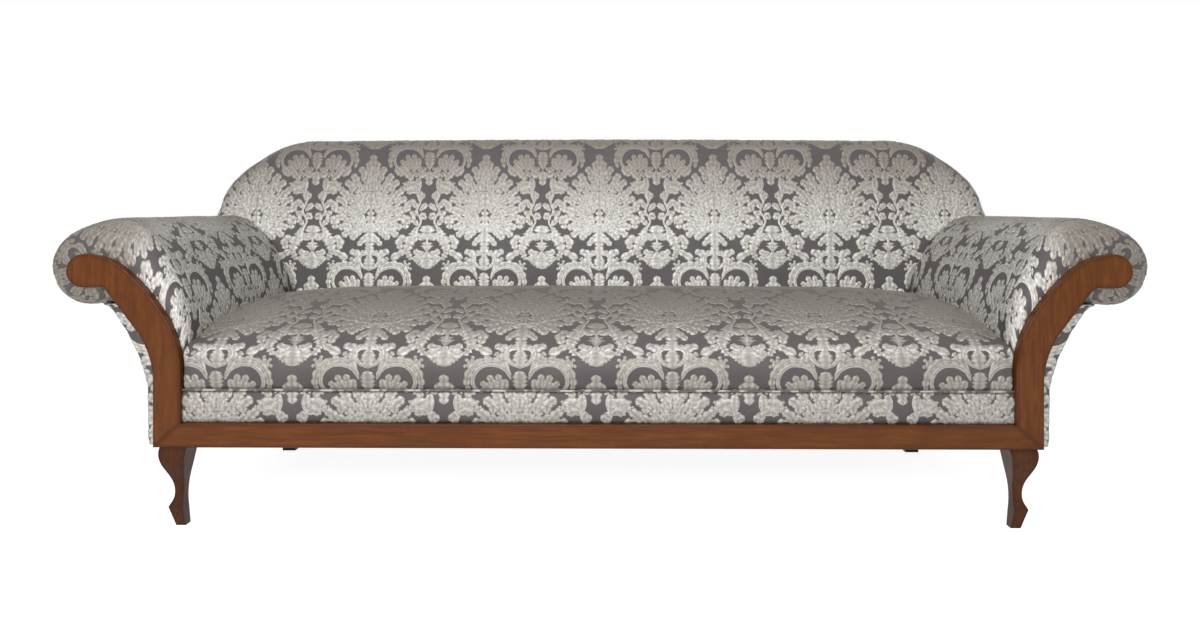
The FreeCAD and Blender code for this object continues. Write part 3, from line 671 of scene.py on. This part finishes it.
def seat_front_shade(u, v):
    """Painted shade: the front's lower part, turned to the floor, is darker than the edge above
    it.
    """
    return 0.53 + 0.47 * clamped((v - 0.070) / 0.030)


def seat_dimples(cloth):
    """Small unevenness of the stuffing, none at the seams."""
    u, v = cloth.places()
    fade = clamped((seat_half - np.abs(u)) / 0.05) * clamped(v / 0.03)
    fade *= clamped((cloth.vs[-1] - v) / 0.05)
    wide = smooth_noise(u.shape, (14, 6), 3) * 0.0025
    small = smooth_noise(u.shape, (46, 16), 4) * 0.0007
    return (wide + small) * fade


# Border: the covered band under the seat.
BORDER_BULGE = 0.004
# Painted shade: the border's figure is darkened by this share all over.
BORDER_SHADE = 0.66
BORDER_TIP_V = 1235 * UNIT   # the medallion's tip above the border's top


def border_cloth():
    face = border_low.y + BORDER_BULGE
    middle = (border_low.y, (border_low.z + border_high.z) / 2)
    section = np.concatenate([
        [(face + 0.006, border_low.z)],
        arc_through((face, border_low.z + 0.001), middle, (face, border_high.z - 0.001), 16),
        [(face + 0.006, border_high.z)]])
    us = steps(border_low.x, border_high.x, 0.008)
    vs = steps(0.0, length_of(section), 0.003)
    line = along(section, vs)
    grid = [np.column_stack([np.full(len(vs), x), line]) for x in us]
    return Cloth(us, vs, np.array(grid))


def border_cover():
    cloth = border_cloth()
    u, v = cloth.places()
    fade = np.sin(clamped(v / cloth.vs[-1]) * math.pi)
    raised(cloth, (smooth_noise(u.shape, (60, 2), 11) * 0.0012) * fade)
    cover("border_cover", cloth, (0.008, 0.006), 0.0, cloth.vs[-1] + BORDER_TIP_V,
          ["front_border"], lambda u, v: BORDER_SHADE)


# Arms: padded roll over the scroll boards, gathered round the facing's edge.
BACK_LEAN = math.tan(math.radians(5.7))
ARM_WRAP = 0.130             # cloth that turns over the arm's front edge
ROLL_RADIUS = 0.088
SCROLL_RADIUS = 0.0375       # the facing's round end
TUCK_RADIUS = 0.0355         # where the cloth goes behind that end
SEAM_AHEAD = 0.009           # the arm's cloth ends this far ahead of the outside back
GATHERS_FROM = 0.42          # v where the gathers round the scroll begin
CRUSHED_FROM = 0.34          # v where the pile starts to lie flat
GATHER_PITCH = 0.017
ARM_TIP_V = 0.618
arm_front_y = wood_back_y + 0.0004
arm_foot_z = 0.300
arm_crest_z = arm_high.z
arm_pad_x = arm_low.x
scroll_x = facing_high.x - SCROLL_RADIUS
scroll_z = facing_high.z - SCROLL_RADIUS
roll_x = arm_high.x - ROLL_RADIUS
roll_z = scroll_z + 0.0086


def back_plane_y(z):
    """The outside back's face at a height."""
    return panel_high.y - (panel_high.z - z) * BACK_LEAN


def arm_outline():
    """The padded arm's skin, seat level to the roll's underside, in x and z."""
    return tangent_path((arm_pad_x, arm_foot_z), (
        ("line", arm_pad_x, arm_crest_z - 0.267),
        ("arc", arm_pad_x + 0.010, arm_crest_z - 0.197),
        ("arc", arm_pad_x + 0.112, arm_crest_z - 0.023),
        ("arc", arm_pad_x + 0.177, arm_crest_z),
        ("arc", arm_pad_x + 0.285, arm_crest_z - 0.037),
        ("arc", roll_x + ROLL_RADIUS, roll_z),
        ("arc", roll_x, roll_z - ROLL_RADIUS),
        ("line", inner_x + 0.164, roll_z - 0.084)))


def arm_core():
    """The facing's edge that the arm's cloth tucks behind, along the same way."""
    return tangent_path((inner_x + 0.002, arm_foot_z), (
        ("line", inner_x + 0.002, scroll_z - 0.2314),
        ("arc", inner_x + 0.0377, scroll_z - 0.1052),
        ("arc", inner_x + 0.124, scroll_z - 0.0026),
        ("arc", scroll_x - 0.0034, scroll_z + TUCK_RADIUS),
        ("arc", scroll_x + TUCK_RADIUS, scroll_z),
        ("arc", scroll_x, scroll_z - TUCK_RADIUS),
        ("line", inner_x + 0.160, scroll_z - TUCK_RADIUS)))


# Places on the outline and the core that face each other.
ARM_PAIRS = (
    ((arm_pad_x, arm_foot_z), (inner_x + 0.002, arm_foot_z)),
    ((arm_pad_x, arm_crest_z - 0.267), (inner_x + 0.002, scroll_z - 0.19)),
    ((arm_pad_x + 0.112, arm_crest_z - 0.023), (inner_x + 0.124, scroll_z - 0.0026)),
    ((roll_x, roll_z + ROLL_RADIUS), (scroll_x - 0.0034, scroll_z + TUCK_RADIUS)),
    ((roll_x + ROLL_RADIUS, roll_z), (scroll_x + TUCK_RADIUS, scroll_z)),
    ((roll_x, roll_z - ROLL_RADIUS), (scroll_x, scroll_z - TUCK_RADIUS)),
    ((inner_x + 0.164, roll_z - 0.084), (inner_x + 0.160, scroll_z - TUCK_RADIUS)))


def matched(outline, core, places):
    """The core's points that face the outline's places."""
    def place_of(points, near):
        return run_along(points)[np.argmin(sizes(points - near))]

    outs = [place_of(outline, a) for a, b in ARM_PAIRS]
    ins = [place_of(core, b) for a, b in ARM_PAIRS]
    return along(core, np.interp(places, outs, ins))


def arm_cloth(side):
    """The arm's cloth and how far each of its places lies from the facing's edge.

    U runs from the facing to the back, v from the seat over the roll.
    """
    skin = arm_outline()
    vs = steps(0.0, length_of(skin), 0.004)
    outer = along(skin, vs)
    core = matched(skin, arm_core(), vs)
    thick = sizes(outer - core)
    depth = np.clip(thick * 0.75, 0.006, 0.040)
    wrap = math.pi / 2 * np.sqrt((thick ** 2 + depth ** 2) / 2)
    rear = back_plane_y(outer[:, 1]) - SEAM_AHEAD
    us = steps(0.0, ARM_WRAP + (rear - arm_front_y).max(), 0.005)
    from_edge = np.maximum(us[:, None] - (ARM_WRAP - wrap), 0)
    turn = clamped(1 - from_edge / wrap) * math.pi / 2
    inward = (1 - np.cos(turn))[:, :, None]
    back = clamped((us - ARM_WRAP) / (us[-1] - ARM_WRAP))[:, None]
    y = arm_front_y + depth * (1 - np.sin(turn)) + back * (rear - arm_front_y - depth)
    xz = outer * (1 - inward) + core * inward
    # Towards the back the arm's inner side stands a little further in.
    hump = np.sin(clamped((outer[:, 1] - 0.45) / 0.26) * math.pi) * (outer[:, 0] < 1.06)
    xz[:, :, 0] -= 0.020 * hump * clamped(back * 1.15) ** 1.5
    points = np.stack([side * xz[:, :, 0], y, xz[:, :, 1]], -1)
    return Cloth(us, vs, points, flip=side > 0), from_edge


def arm_gathers(cloth, from_edge, seed):
    """Folds that run out from the facing's scroll, and small unevenness."""
    u, v = cloth.places()
    rng = np.random.default_rng(seed)
    wobble = smooth_noise(u.shape, (6, 40), seed) * 0.6
    reach = np.exp(-((from_edge - 0.010) / 0.024) ** 2) * (from_edge > 0)
    held = clamped((v - GATHERS_FROM) / 0.10) * np.clip(from_edge / 0.008, 0.4, 1)
    phase = (v - GATHERS_FROM) / GATHER_PITCH * 2 * math.pi + wobble * 2.5 + rng.uniform(0, 6)
    folds = (np.abs(np.sin(phase / 2)) ** 0.7 - 0.6) * 0.0034
    edge = clamped((cloth.us[-1] - u) / 0.04)
    edge *= clamped((u - ARM_WRAP) / 0.04)
    rest = smooth_noise(u.shape, (9, 12), seed + 1) * 0.002 * edge
    return folds * reach * held + rest


def arm_cover(side, word):
    cloth, from_edge = arm_cloth(side)
    swell(cloth, 0.005, lambda u, v: (u < ARM_WRAP) | (u > cloth.us[-1] - HELD_EDGE)
          | (v < HELD_EDGE) | (v > cloth.vs[-1] - HELD_EDGE))
    raised(cloth, arm_gathers(cloth, from_edge, 21 if side > 0 else 22))

    def gathered_lustre(u, v):
        """The pile lies flat where the cloth is gathered round the scroll."""
        off = read_grid(cloth.us, cloth.vs, from_edge[:, :, None], u, v)[:, 0]
        round_scroll = clamped((v - CRUSHED_FROM) / 0.09)
        return 1 - 0.68 * round_scroll * clamped((0.190 - off) / 0.110)

    cover("arm_cover_" + word, cloth, (0.007, 0.006), ARM_WRAP + 0.010, ARM_TIP_V,
          ["arm_pad_" + word], gathered_lustre)


SIDE_TURN = 0.030            # cloth that turns in behind the facing
panel_side_x = outer_x + 0.020
under_roll = (inner_x + 0.1865, roll_z - 0.085)
from_under_roll = (("line", inner_x + 0.170, roll_z - 0.093), ("head", -0.64, -0.77))


def side_cloth(side):
    """The outside arm's cloth: u to the back, v down from under the roll."""
    skin = tangent_path(under_roll, from_under_roll + (
        ("arc", panel_side_x + 0.037, scroll_z - 0.1614),
        ("arc", panel_side_x + 0.002, scroll_z - 0.2614),
        ("line", panel_side_x, frame_z + 0.004),
        ("line", panel_side_x - 0.003, frame_z + 0.0005)))
    vs = steps(0.0, length_of(skin), 0.004)
    outer = softened(along(skin, vs), 2)
    rear = back_plane_y(outer[:, 1]) - SEAM_AHEAD
    us = steps(0.0, (rear - arm_front_y).max() + SIDE_TURN, 0.004)
    turn = clamped(1 - us / SIDE_TURN)[:, None] * math.pi / 2
    back = clamped((us - SIDE_TURN) / (us[-1] - SIDE_TURN))[:, None]
    y = arm_front_y + 0.005 * (1 - np.sin(turn)) + back * (rear - arm_front_y - 0.005)
    x = outer[:, 0] + 0.003 - SIDE_TURN * (1 - np.cos(turn))
    z = outer[:, 1] + 0 * turn
    return Cloth(us, vs, np.stack([side * x, y, z], -1), flip=side > 0)


def side_cover(side, word):
    cloth = side_cloth(side)
    u, v = cloth.places()
    fade = clamped(u / 0.05) * clamped((cloth.us[-1] - u) / 0.05)
    fade *= clamped(v / 0.04) * clamped((cloth.vs[-1] - v) / 0.03)
    raised(cloth, smooth_noise(u.shape, (8, 5), 31) * 0.002 * fade)
    cover("side_cover_" + word, cloth, (0.010, 0.008), 0.10, 0.10,
          ["arm_outside_cover_" + word])


# Inside and outside back: cloth over a flat form, rolled over its outline.
INSIDE_LEAN = 0.145
INSIDE_CROWN = 0.016
BACK_TIP_Z = 0.883           # the medallion's tip on both sides of the back
wing_x = back_high.x


def half_arch():
    """The back's outline above the arm, up the right side to the middle."""
    top = back_high.z - 0.0035
    return tangent_path((wing_x, arm_crest_z - 0.007), (
        ("line", wing_x, arm_crest_z + 0.006),
        ("arc", wing_x - 0.044, top - 0.1205),
        ("arc", wing_x - 0.156, top - 0.0355),
        ("arc", wing_x - 0.306, top - 0.005),
        ("head", -1.0, 0.0118),
        ("arc", 0.0, top)))


def both_sides(right):
    """A closed outline from its right half, which runs from the bottom to the middle."""
    left = right[::-1][1:] * (-1, 1)
    closed = np.concatenate([right, left])
    floor = np.linspace(closed[-1], closed[0], 300)[1:-1]
    return np.concatenate([closed, floor])


def rolled(us, ws, outline, roll, drop, most, face_y, forward, flip):
    """A cloth on a flat face that rolls over an outline and runs on to a seam.

    Roll, drop and most are given for each outline point: how far in the rolling starts,
    how deep it goes, and the depth where the cloth ends. Forward is 1 where the face
    looks to -Y and -1 where it looks to +Y.
    """
    ahead = np.roll(outline, -1, axis=0) - np.roll(outline, 1, axis=0)
    inward = np.stack([-ahead[:, 1], ahead[:, 0]], 1)
    inward /= np.maximum(sizes(inward), 1e-9)[:, None]
    points = np.zeros((len(us), len(ws), 3))
    for i, x in enumerate(us):
        here = np.stack([np.full(len(ws), x), ws], 1)
        gap = here[:, None, :] - outline[None, :, :]
        near = np.argmin((gap ** 2).sum(2), axis=1)
        rows = np.arange(len(ws))
        offset = gap[rows, near]
        inside = np.sign(np.einsum("ij,ij->i", offset, inward[near]))
        reach = sizes(offset)
        past = roll[near] - reach * np.where(inside >= 0, 1, -1)
        quarter = math.pi / 2 * np.sqrt((roll[near] ** 2 + drop[near] ** 2) / 2)
        turn = clamped(past / quarter) * math.pi / 2
        depth = drop[near] * (1 - np.cos(turn)) + np.clip(past - quarter, 0, None)
        depth = np.minimum(depth, most[near])
        way = inward[near]
        eased = outline[near] + way * (roll[near] * (1 - np.sin(turn)))[:, None]
        flat = np.where((past > 0)[:, None], eased, here)
        points[i, :, 0::2] = flat
        points[i, :, 1] = face_y(flat[:, 1]) + forward * depth
    return Cloth(us, ws, points, flip)


def inside_back_y(z):
    """The inside back's face: it leans a little more than the outside back."""
    rise = clamped((z - 0.40) / 0.55)
    flat = seat_rear_y + 0.0003 + (z - seat_rear_z) * INSIDE_LEAN
    return flat - INSIDE_CROWN * np.sin(math.pi * rise)


def inside_back():
    beside_arm = np.array([(0.905, 0.400), (0.908, 0.450), (0.930, 0.520), (0.966, 0.580),
                           (1.010, 0.636), (1.056, 0.672), (1.110, 0.682), (1.150, 0.676)])
    below = along(beside_arm, steps(0, length_of(beside_arm), 0.004))
    outline = both_sides(np.concatenate([below, half_arch()]))
    high = clamped((outline[:, 1] - 0.69) / 0.03)
    roll = 0.020 + 0.026 * high
    drop = 0.022 + 0.040 * high
    most = np.where(high > 0.5, back_plane_y(outline[:, 1]) - 0.0085
                    - inside_back_y(outline[:, 1]), 0.045)
    us = steps(-1.30, 1.30, 0.005)
    ws = steps(0.36, 1.08, 0.005)
    return rolled(us, ws, outline, roll, drop, most, inside_back_y, 1, False)


def back_top_shade(u, v):
    """Painted shade: the figure darkens towards the back's top, where the pad curves away from
    the light.
    """
    return 0.95 - 0.66 * clamped((v - 0.67) / 0.20)


def off_the_roll(cloth, rounds):
    """1 over a back's flat middle, easing to 0 where its cloth starts to roll."""
    u, v = cloth.places()
    flat = np.abs(cloth.points[:, :, 0] - u) + np.abs(cloth.points[:, :, 2] - v) < 1e-6
    share = flat.astype(float)
    for _ in range(rounds):
        share[1:-1, 1:-1] = (share[:-2, 1:-1] + share[2:, 1:-1] + share[1:-1, :-2]
                             + share[1:-1, 2:]) / 4
        share *= flat
    return share


def back_cover():
    cloth = inside_back()
    free = off_the_roll(cloth, 30)
    swell(cloth, 0.006,
          lambda u, v: read_grid(cloth.us, cloth.vs, free[:, :, None], u, v)[:, 0] < 0.05)
    wide = smooth_noise(free.shape, (16, 6), 41) * 0.003
    small = smooth_noise(free.shape, (50, 16), 42) * 0.0008
    raised(cloth, (wide + small) * free)
    cover("back_cover", cloth, (0.009, 0.009), 0.0, BACK_TIP_Z, ["back_pad"],
          back_top_shade)


def outside_back():
    skirt = tangent_path(under_roll, from_under_roll + (
        ("arc", panel_side_x + 0.034, scroll_z - 0.1614),
        ("arc", panel_side_x, scroll_z - 0.2614),
        ("line", panel_side_x, frame_z)))[::-1]
    arm = arm_outline()
    arm = arm[(arm[:, 0] > inner_x + 0.192) | (arm[:, 1] > roll_z)]
    crest = int(np.argmin(np.abs(arm[:, 0] - wing_x) + (arm[:, 1] < 0.68)))
    right = np.concatenate([skirt, arm[crest:][::-1], half_arch()[3:]])
    outline = both_sides(along(right, steps(0, length_of(right), 0.003)))
    flat = np.full(len(outline), 1.0)
    us = steps(-1.27, 1.27, 0.005)
    ws = steps(0.165, 0.96, 0.005)
    return rolled(us, ws, outline, flat * 0.007, flat * 0.008, flat * 0.0082,
                  back_plane_y, -1, True)


def outside_cover():
    cloth = outside_back()
    free = off_the_roll(cloth, 20)
    raised(cloth, smooth_noise(free.shape, (12, 5), 51) * 0.002 * free)
    cover("outside_back_cover", cloth, (0.010, 0.010), 0.0, BACK_TIP_Z, ["back_panel"])


# Colours are linear.
GROUND = (0.100, 0.086, 0.088, 1)
GROUND_DARK = (0.078, 0.067, 0.070, 1)
PILE = (0.85, 0.842, 0.82, 1)
PILE_WARM = (0.48, 0.46, 0.425, 1)


class Nodes:
    """A node tree built step by step."""

    def __init__(self, owner):
        owner.use_nodes = True
        self.tree = owner.node_tree

    def node(self, kind, inputs=None, **settings):
        """Add a node; inputs holds values, or outputs to link, by socket name or number."""
        made = self.tree.nodes.new(kind)
        for key, value in settings.items():
            setattr(made, key, value)
        for key, value in (inputs or {}).items():
            self.feed(made.inputs[key], value)
        return made

    def feed(self, socket, value):
        if isinstance(value, bpy.types.NodeSocket):
            self.tree.links.new(value, socket)
        else:
            socket.default_value = value

    def math(self, operation, first, second=0.0):
        made = self.node("ShaderNodeMath", {0: first, 1: second}, operation=operation)
        return made.outputs[0]

    def seen(self):
        """1 for the rays that show the background: the camera's, and in gloss or glass."""
        ray = self.node("ShaderNodeLightPath").outputs
        either = self.math("MAXIMUM", ray["Is Camera Ray"], ray["Is Glossy Ray"])
        return self.math("MAXIMUM", either, ray["Is Transmission Ray"])


class Recipe(Nodes):
    """A material."""

    def __init__(self, name):
        self.material = bpy.data.materials.new(name)
        super().__init__(self.material)
        self.shader = self.tree.nodes["Principled BSDF"]

    def set(self, **sockets):
        for key, value in sockets.items():
            self.feed(self.shader.inputs[key.replace("_", " ")], value)

    def place(self, scale=(1, 1, 1), uv=None):
        """Object coordinates, or a named map's, scaled."""
        if uv:
            source = self.node("ShaderNodeUVMap", uv_map=uv).outputs["UV"]
        else:
            source = self.node("ShaderNodeTexCoord").outputs["Object"]
        made = self.node("ShaderNodeMapping", {"Vector": source, "Scale": scale})
        return made.outputs["Vector"]

    def noise(self, vector, scale, detail, rough=0.5, distortion=0.0):
        return self.node("ShaderNodeTexNoise", {
            "Vector": vector, "Scale": scale, "Detail": detail, "Roughness": rough,
            "Distortion": distortion}).outputs["Fac"]

    def ramp(self, value, *stops):
        """A colour ramp; a stop is (place, colour or grey)."""
        made = self.node("ShaderNodeValToRGB", {"Fac": value})
        elements = made.color_ramp.elements
        while len(elements) < len(stops):
            elements.new(0.5)
        for element, (place, colour) in zip(elements, stops):
            element.position = place
            element.color = colour if isinstance(colour, tuple) else (colour, colour, colour, 1)
        return made.outputs["Color"]

    def mix(self, factor, first, second):
        """Two colours mixed; Mix keeps its colour sockets at 6, 7 and 2."""
        made = self.node("ShaderNodeMix", data_type="RGBA")
        for socket, value in ((0, factor), (6, first), (7, second)):
            self.feed(made.inputs[socket], value)
        return made.outputs[2]

    def facing_up(self):
        """How far a surface faces up, from 0 to 1, for painted light on tops."""
        normal = self.node("ShaderNodeNewGeometry").outputs["Normal"]
        z = self.node("ShaderNodeSeparateXYZ", {"Vector": normal}).outputs["Z"]
        return self.ramp(z, (0.20, 0.0), (0.70, 0.26), (0.90, 0.80), (0.99, 1.0))

    def off_edges(self, radius):
        """0 on a solid's edges, 1 further than a radius from them."""
        true = self.node("ShaderNodeNewGeometry").outputs["Normal"]
        eased = self.node("ShaderNodeBevel", {"Radius": radius}, samples=4).outputs["Normal"]
        dot = self.node("ShaderNodeVectorMath", {0: true, 1: eased}, operation="DOT_PRODUCT")
        return self.ramp(dot.outputs["Value"], (0.86, 0.0), (0.9995, 1.0))

    def bump(self, height, strength, distance):
        """Set the relief and return the finished material."""
        made = self.node("ShaderNodeBump", {"Height": height, "Strength": strength,
                                            "Distance": distance})
        self.feed(self.shader.inputs["Normal"], made.outputs["Normal"])
        return self.material


def ground_material():
    """Satin ground: a fine rib across the cloth, with slubs, and a painted sheen on its tops.
    """
    r = Recipe("damask_ground")
    threads = r.noise(r.place((180, 1400, 1), CLOTH_MAP), 1.0, 2.0)
    slubs = r.noise(r.place((60, 420, 1), CLOTH_MAP), 1.0, 2.0)
    patches = r.noise(r.place((9, 9, 1), CLOTH_MAP), 1.0, 3.0)
    colour = r.mix(r.ramp(patches, (0.35, 0.0), (0.65, 1.0)), GROUND_DARK, GROUND)
    colour = r.mix(r.ramp(slubs, (0.5, 0.0), (0.8, 0.45)), colour, (0.14, 0.122, 0.122, 1))
    # Painted sheen: the ground's colour is lighter where it faces up.
    colour = r.mix(r.facing_up(), colour, (0.104, 0.092, 0.088, 1))
    r.set(Base_Color=colour, Roughness=0.5, Specular_IOR_Level=0.35, Sheen_Weight=0.10,
          Sheen_Roughness=0.4, Sheen_Tint=(0.8, 0.75, 0.74, 1))
    return r.bump(threads, 0.35, 0.0006)


def pile_material():
    """Raised silvery figure: lustrous thread, with painted shade in its hollows and on its
    tops.
    """
    r = Recipe("damask_pile")
    tones = r.noise(r.place((130, 130, 1), CLOTH_MAP), 1.0, 3.0, 0.6)
    threads = r.noise(r.place((500, 160, 1), CLOTH_MAP), 1.0, 3.0, 0.6)
    colour = r.mix(r.ramp(tones, (0.36, 0.0), (0.62, 1.0)), PILE_WARM, PILE)
    colour = r.mix(r.ramp(threads, (0.30, 0.5), (0.52, 0.0)), colour, (0.36, 0.33, 0.29, 1))
    # Painted shade: the figure's colour is darker where it faces up.
    colour = r.mix(r.facing_up(), colour, (0.185, 0.168, 0.138, 1))
    # Painted shade: the figure's colour darkens towards this brown where the relief is hollow,
    # on shaded parts and where the pile lies flat.
    shade_and_flattening = r.node("ShaderNodeAttribute", attribute_name="shade_and_flattening").outputs["Fac"]
    colour = r.mix(r.ramp(shade_and_flattening, (0.15, 0.0), (0.85, 1.0)), (0.200, 0.174, 0.143, 1), colour)
    r.set(Base_Color=colour, Roughness=0.45, Metallic=0.15, Specular_IOR_Level=0.5,
          Sheen_Weight=0.05, Sheen_Roughness=0.35)
    return r.bump(threads, 0.5, 0.0006)


def welt_material():
    """The cord's cloth, cut on the bias: figure and ground pass in dashes."""
    r = Recipe("welt_cloth")
    dashes = r.noise(r.place((26, 0.001, 1), CLOTH_MAP), 1.0, 2.0, 0.5)
    threads = r.noise(r.place((900, 300, 1), CLOTH_MAP), 1.0, 2.0)
    colour = r.mix(r.ramp(dashes, (0.49, 0.0), (0.56, 1.0)), (0.12, 0.10, 0.095, 1), PILE_WARM)
    r.set(Base_Color=colour, Roughness=0.42, Metallic=0.2)
    return r.bump(threads, 0.4, 0.0005)


def wood_material(name, grain, light, dark, gloss=0.34):
    """Stained and lacquered beech: long grain, cloudy stain, and painted shade along its edges.
    """
    r = Recipe(name)
    stretched = r.place(grain)
    fibres = r.noise(stretched, 9.0, 6.0, 0.62, 0.4)
    clouds = r.noise(r.place(), 5.0, 3.0, 0.55, 0.6)
    pores = r.noise(stretched, 60.0, 3.0, 0.6)
    colour = r.mix(r.ramp(fibres, (0.34, 0.0), (0.66, 1.0)), dark, light)
    colour = r.mix(r.ramp(clouds, (0.42, 0.0), (0.72, 0.62)), colour, dark)
    colour = r.mix(r.ramp(pores, (0.60, 0.0), (0.74, 0.4)), colour, (0.05, 0.016, 0.008, 1))
    # Painted shade: the colour darkens within the bevel radius of the edges, where the rounded
    # arrises turn from the light.
    colour = r.mix(r.off_edges(0.014), r.mix(0.85, colour, (0.035, 0.010, 0.005, 1)), colour)
    shine = r.ramp(clouds, (0.3, gloss - 0.05), (0.8, gloss + 0.12))
    r.set(Base_Color=colour, Roughness=shine, Specular_IOR_Level=0.06, Coat_Weight=0.20,
          Coat_Roughness=0.10)
    return r.bump(fibres, 0.12, 0.001)


def plain_wood():
    r = Recipe("frame_beech")
    stretched = r.place((1.5, 14, 14))
    fibres = r.noise(stretched, 5.0, 5.0, 0.6, 0.3)
    colour = r.mix(r.ramp(fibres, (0.35, 0.0), (0.68, 1.0)), (0.36, 0.23, 0.13, 1),
                   (0.55, 0.39, 0.24, 1))
    r.set(Base_Color=colour, Roughness=0.65)
    return r.bump(fibres, 0.25, 0.001)


def steel_material():
    r = Recipe("spring_steel")
    stains = r.noise(r.place(), 90.0, 4.0, 0.6)
    r.set(Base_Color=r.mix(stains, (0.30, 0.30, 0.31, 1), (0.46, 0.46, 0.47, 1)), Metallic=1.0,
          Roughness=r.ramp(stains, (0.2, 0.28), (0.8, 0.45)))
    return r.bump(stains, 0.1, 0.0005)


def woven_material(name, colour, other, scale):
    """Plain coarse cloth, such as jute, felt or dust cloth."""
    r = Recipe(name)
    at = r.place((scale, scale, scale))
    warp, weft = (r.node("ShaderNodeTexWave", {"Vector": at, "Scale": 1.0, "Distortion": 1.2},
                         wave_type="BANDS", bands_direction=way).outputs["Fac"] for way in "XZ")
    weave = r.math("MULTIPLY", warp, weft)
    fluff = r.noise(r.place(), 40.0, 4.0, 0.7)
    r.set(Base_Color=r.mix(weave, r.mix(fluff, colour, other), colour), Roughness=0.85)
    return r.bump(weave, 0.4, 0.0008)


RED_BROWN = (0.184, 0.057, 0.011, 1)
BROWN = (0.108, 0.031, 0.007, 1)
damask_ground = ground_material()
damask_pile = pile_material()
rail_wood = wood_material("rail_wood", (1.2, 16, 16), RED_BROWN, BROWN)
facing_wood = wood_material("facing_wood", (14, 14, 1.6), RED_BROWN, BROWN)
leg_wood = wood_material("leg_wood", (18, 18, 3), (0.118, 0.036, 0.009, 1),
                         (0.054, 0.015, 0.005, 1), 0.36)
# Painted shade: the rear legs' wood is much darker than the front legs', for the shadow under
# the seat.
rear_leg_wood_in_shade = wood_material("rear_leg_wood_in_shade", (18, 18, 3), (0.035, 0.018, 0.012, 1),
                              (0.016, 0.009, 0.007, 1), 0.45)
frame_wood = plain_wood()
steel = steel_material()
jute = woven_material("jute", (0.36, 0.26, 0.15, 1), (0.24, 0.17, 0.10, 1), 300)
felt = woven_material("felt", (0.20, 0.19, 0.18, 1), (0.30, 0.28, 0.26, 1), 150)
dust_cloth = woven_material("dust_cloth", (0.018, 0.018, 0.019, 1), (0.03, 0.03, 0.03, 1), 400)

NODE_MATERIALS = (
    ("front_rail", rail_wood), ("arm_facing", facing_wood), ("front_leg", leg_wood),
    ("rear_leg", rear_leg_wood_in_shade), ("zigzag_springs", steel), ("spring_clips", steel),
    ("leg_bolts", steel), ("facing_screws", steel), ("back_webbing", jute),
    ("spring_cover", felt), ("dust_cover", dust_cloth), ("", frame_wood))


def dress_nodes():
    """Give each kept node its material: the first prefix that its name starts with."""
    for name, ob in nodes.items():
        chosen = next(m for prefix, m in NODE_MATERIALS if name.startswith(prefix))
        ob.data.materials.clear()
        ob.data.materials.append(chosen)


def welt():
    """The cord sewn between the seat and its border, a little uneven along its run."""
    x = steps(welt_low.x, welt_high.x, 0.006)
    rng = np.random.default_rng(61)
    wave = np.interp(x, steps(-1, 1, 0.05), rng.uniform(-1, 1, 41))
    middle_z = (welt_low.z + welt_high.z) / 2
    path = np.column_stack([x, np.full(len(x), seat_front - 0.0005), middle_z + 0.0006 * wave])
    radius = 0.0026 + 0.0003 * np.interp(x, steps(-1, 1, 0.05), rng.uniform(-1, 1, 41))
    ahead = np.gradient(path, axis=0)
    ahead /= sizes(ahead)[:, None]
    side = np.cross(ahead, (0.0, 0.0, 1.0))
    side /= sizes(side)[:, None]
    top = np.cross(side, ahead)
    angle = np.linspace(0, 2 * math.pi, 11)
    ring = side[:, None, :] * np.cos(angle)[:, None] + top[:, None, :] * np.sin(angle)[:, None]
    points = (path[:, None, :] + ring * radius[:, None, None]).reshape(-1, 3)
    girth = angle * np.mean(radius)
    uv = np.stack(np.meshgrid(run_along(path), girth, indexing="ij"), -1).reshape(-1, 2)
    ob = mesh_object("welt", points, grid_quads(len(path), len(angle), True), uv)
    ob.data.materials.append(welt_material())
    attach(ob, "root")
    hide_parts("welt_cord")


WORLD_LIGHT = 0.22
FLOOR_LIFT = 0.86            # brings the lit floor up to white and keeps the shadow
KEY_POWER = 105.0
CEILING_POWER = 22.0
WHITE = (1, 1, 1, 1)


def stage():
    """White floor and world, and soft lamps in front of the sofa."""
    world = bpy.data.worlds.new("studio")
    bpy.context.scene.world = world
    sky = Nodes(world)
    background = sky.tree.nodes["Background"].inputs
    strength = sky.node("ShaderNodeMapRange", {"Value": sky.seen(), "To Min": WORLD_LIGHT,
                                               "To Max": 1.0})
    sky.feed(background["Color"], WHITE)
    sky.feed(background["Strength"], strength.outputs[0])

    r = Recipe("floor")
    r.set(Base_Color=(0.7, 0.7, 0.7, 1), Roughness=0.95, Specular_IOR_Level=0.1,
          Emission_Color=WHITE, Emission_Strength=r.math("MULTIPLY", r.seen(), FLOOR_LIFT))
    corners = np.array([(-30, -8, 0), (30, -8, 0), (30, 60, 0), (-30, 60, 0)], float)
    floor = mesh_object("floor", corners, np.array([[0, 1, 2, 3]]))
    floor.data.materials.append(r.material)

    lamp("key", (-0.5, -3.8, 1.5), (0, 0, 0.5), (3.2, 1.2), KEY_POWER)
    lamp("ceiling", (0, -0.9, 3.0), (0, -0.1, 0.4), (3.0, 1.4), CEILING_POWER)


def lamp(name, place, target, size, power):
    data = bpy.data.lights.new(name, "AREA")
    data.shape = "RECTANGLE"
    data.size, data.size_y = size
    data.energy = power
    ob = bpy.data.objects.new(name, data)
    bpy.context.scene.collection.objects.link(ob)
    ob.location = place
    aim = np.array(target) - np.array(place)
    flat = math.hypot(aim[0], aim[1])
    ob.rotation_euler = (math.atan2(flat, -aim[2]), 0, math.atan2(-aim[0], aim[1]))


dress_nodes()
seat_cover()
border_cover()
welt()
for side, word in ((1, "right"), (-1, "left")):
    arm_cover(side, word)
    side_cover(side, word)
back_cover()
outside_cover()
stage()
bpy.context.scene.view_settings.view_transform = "Standard"
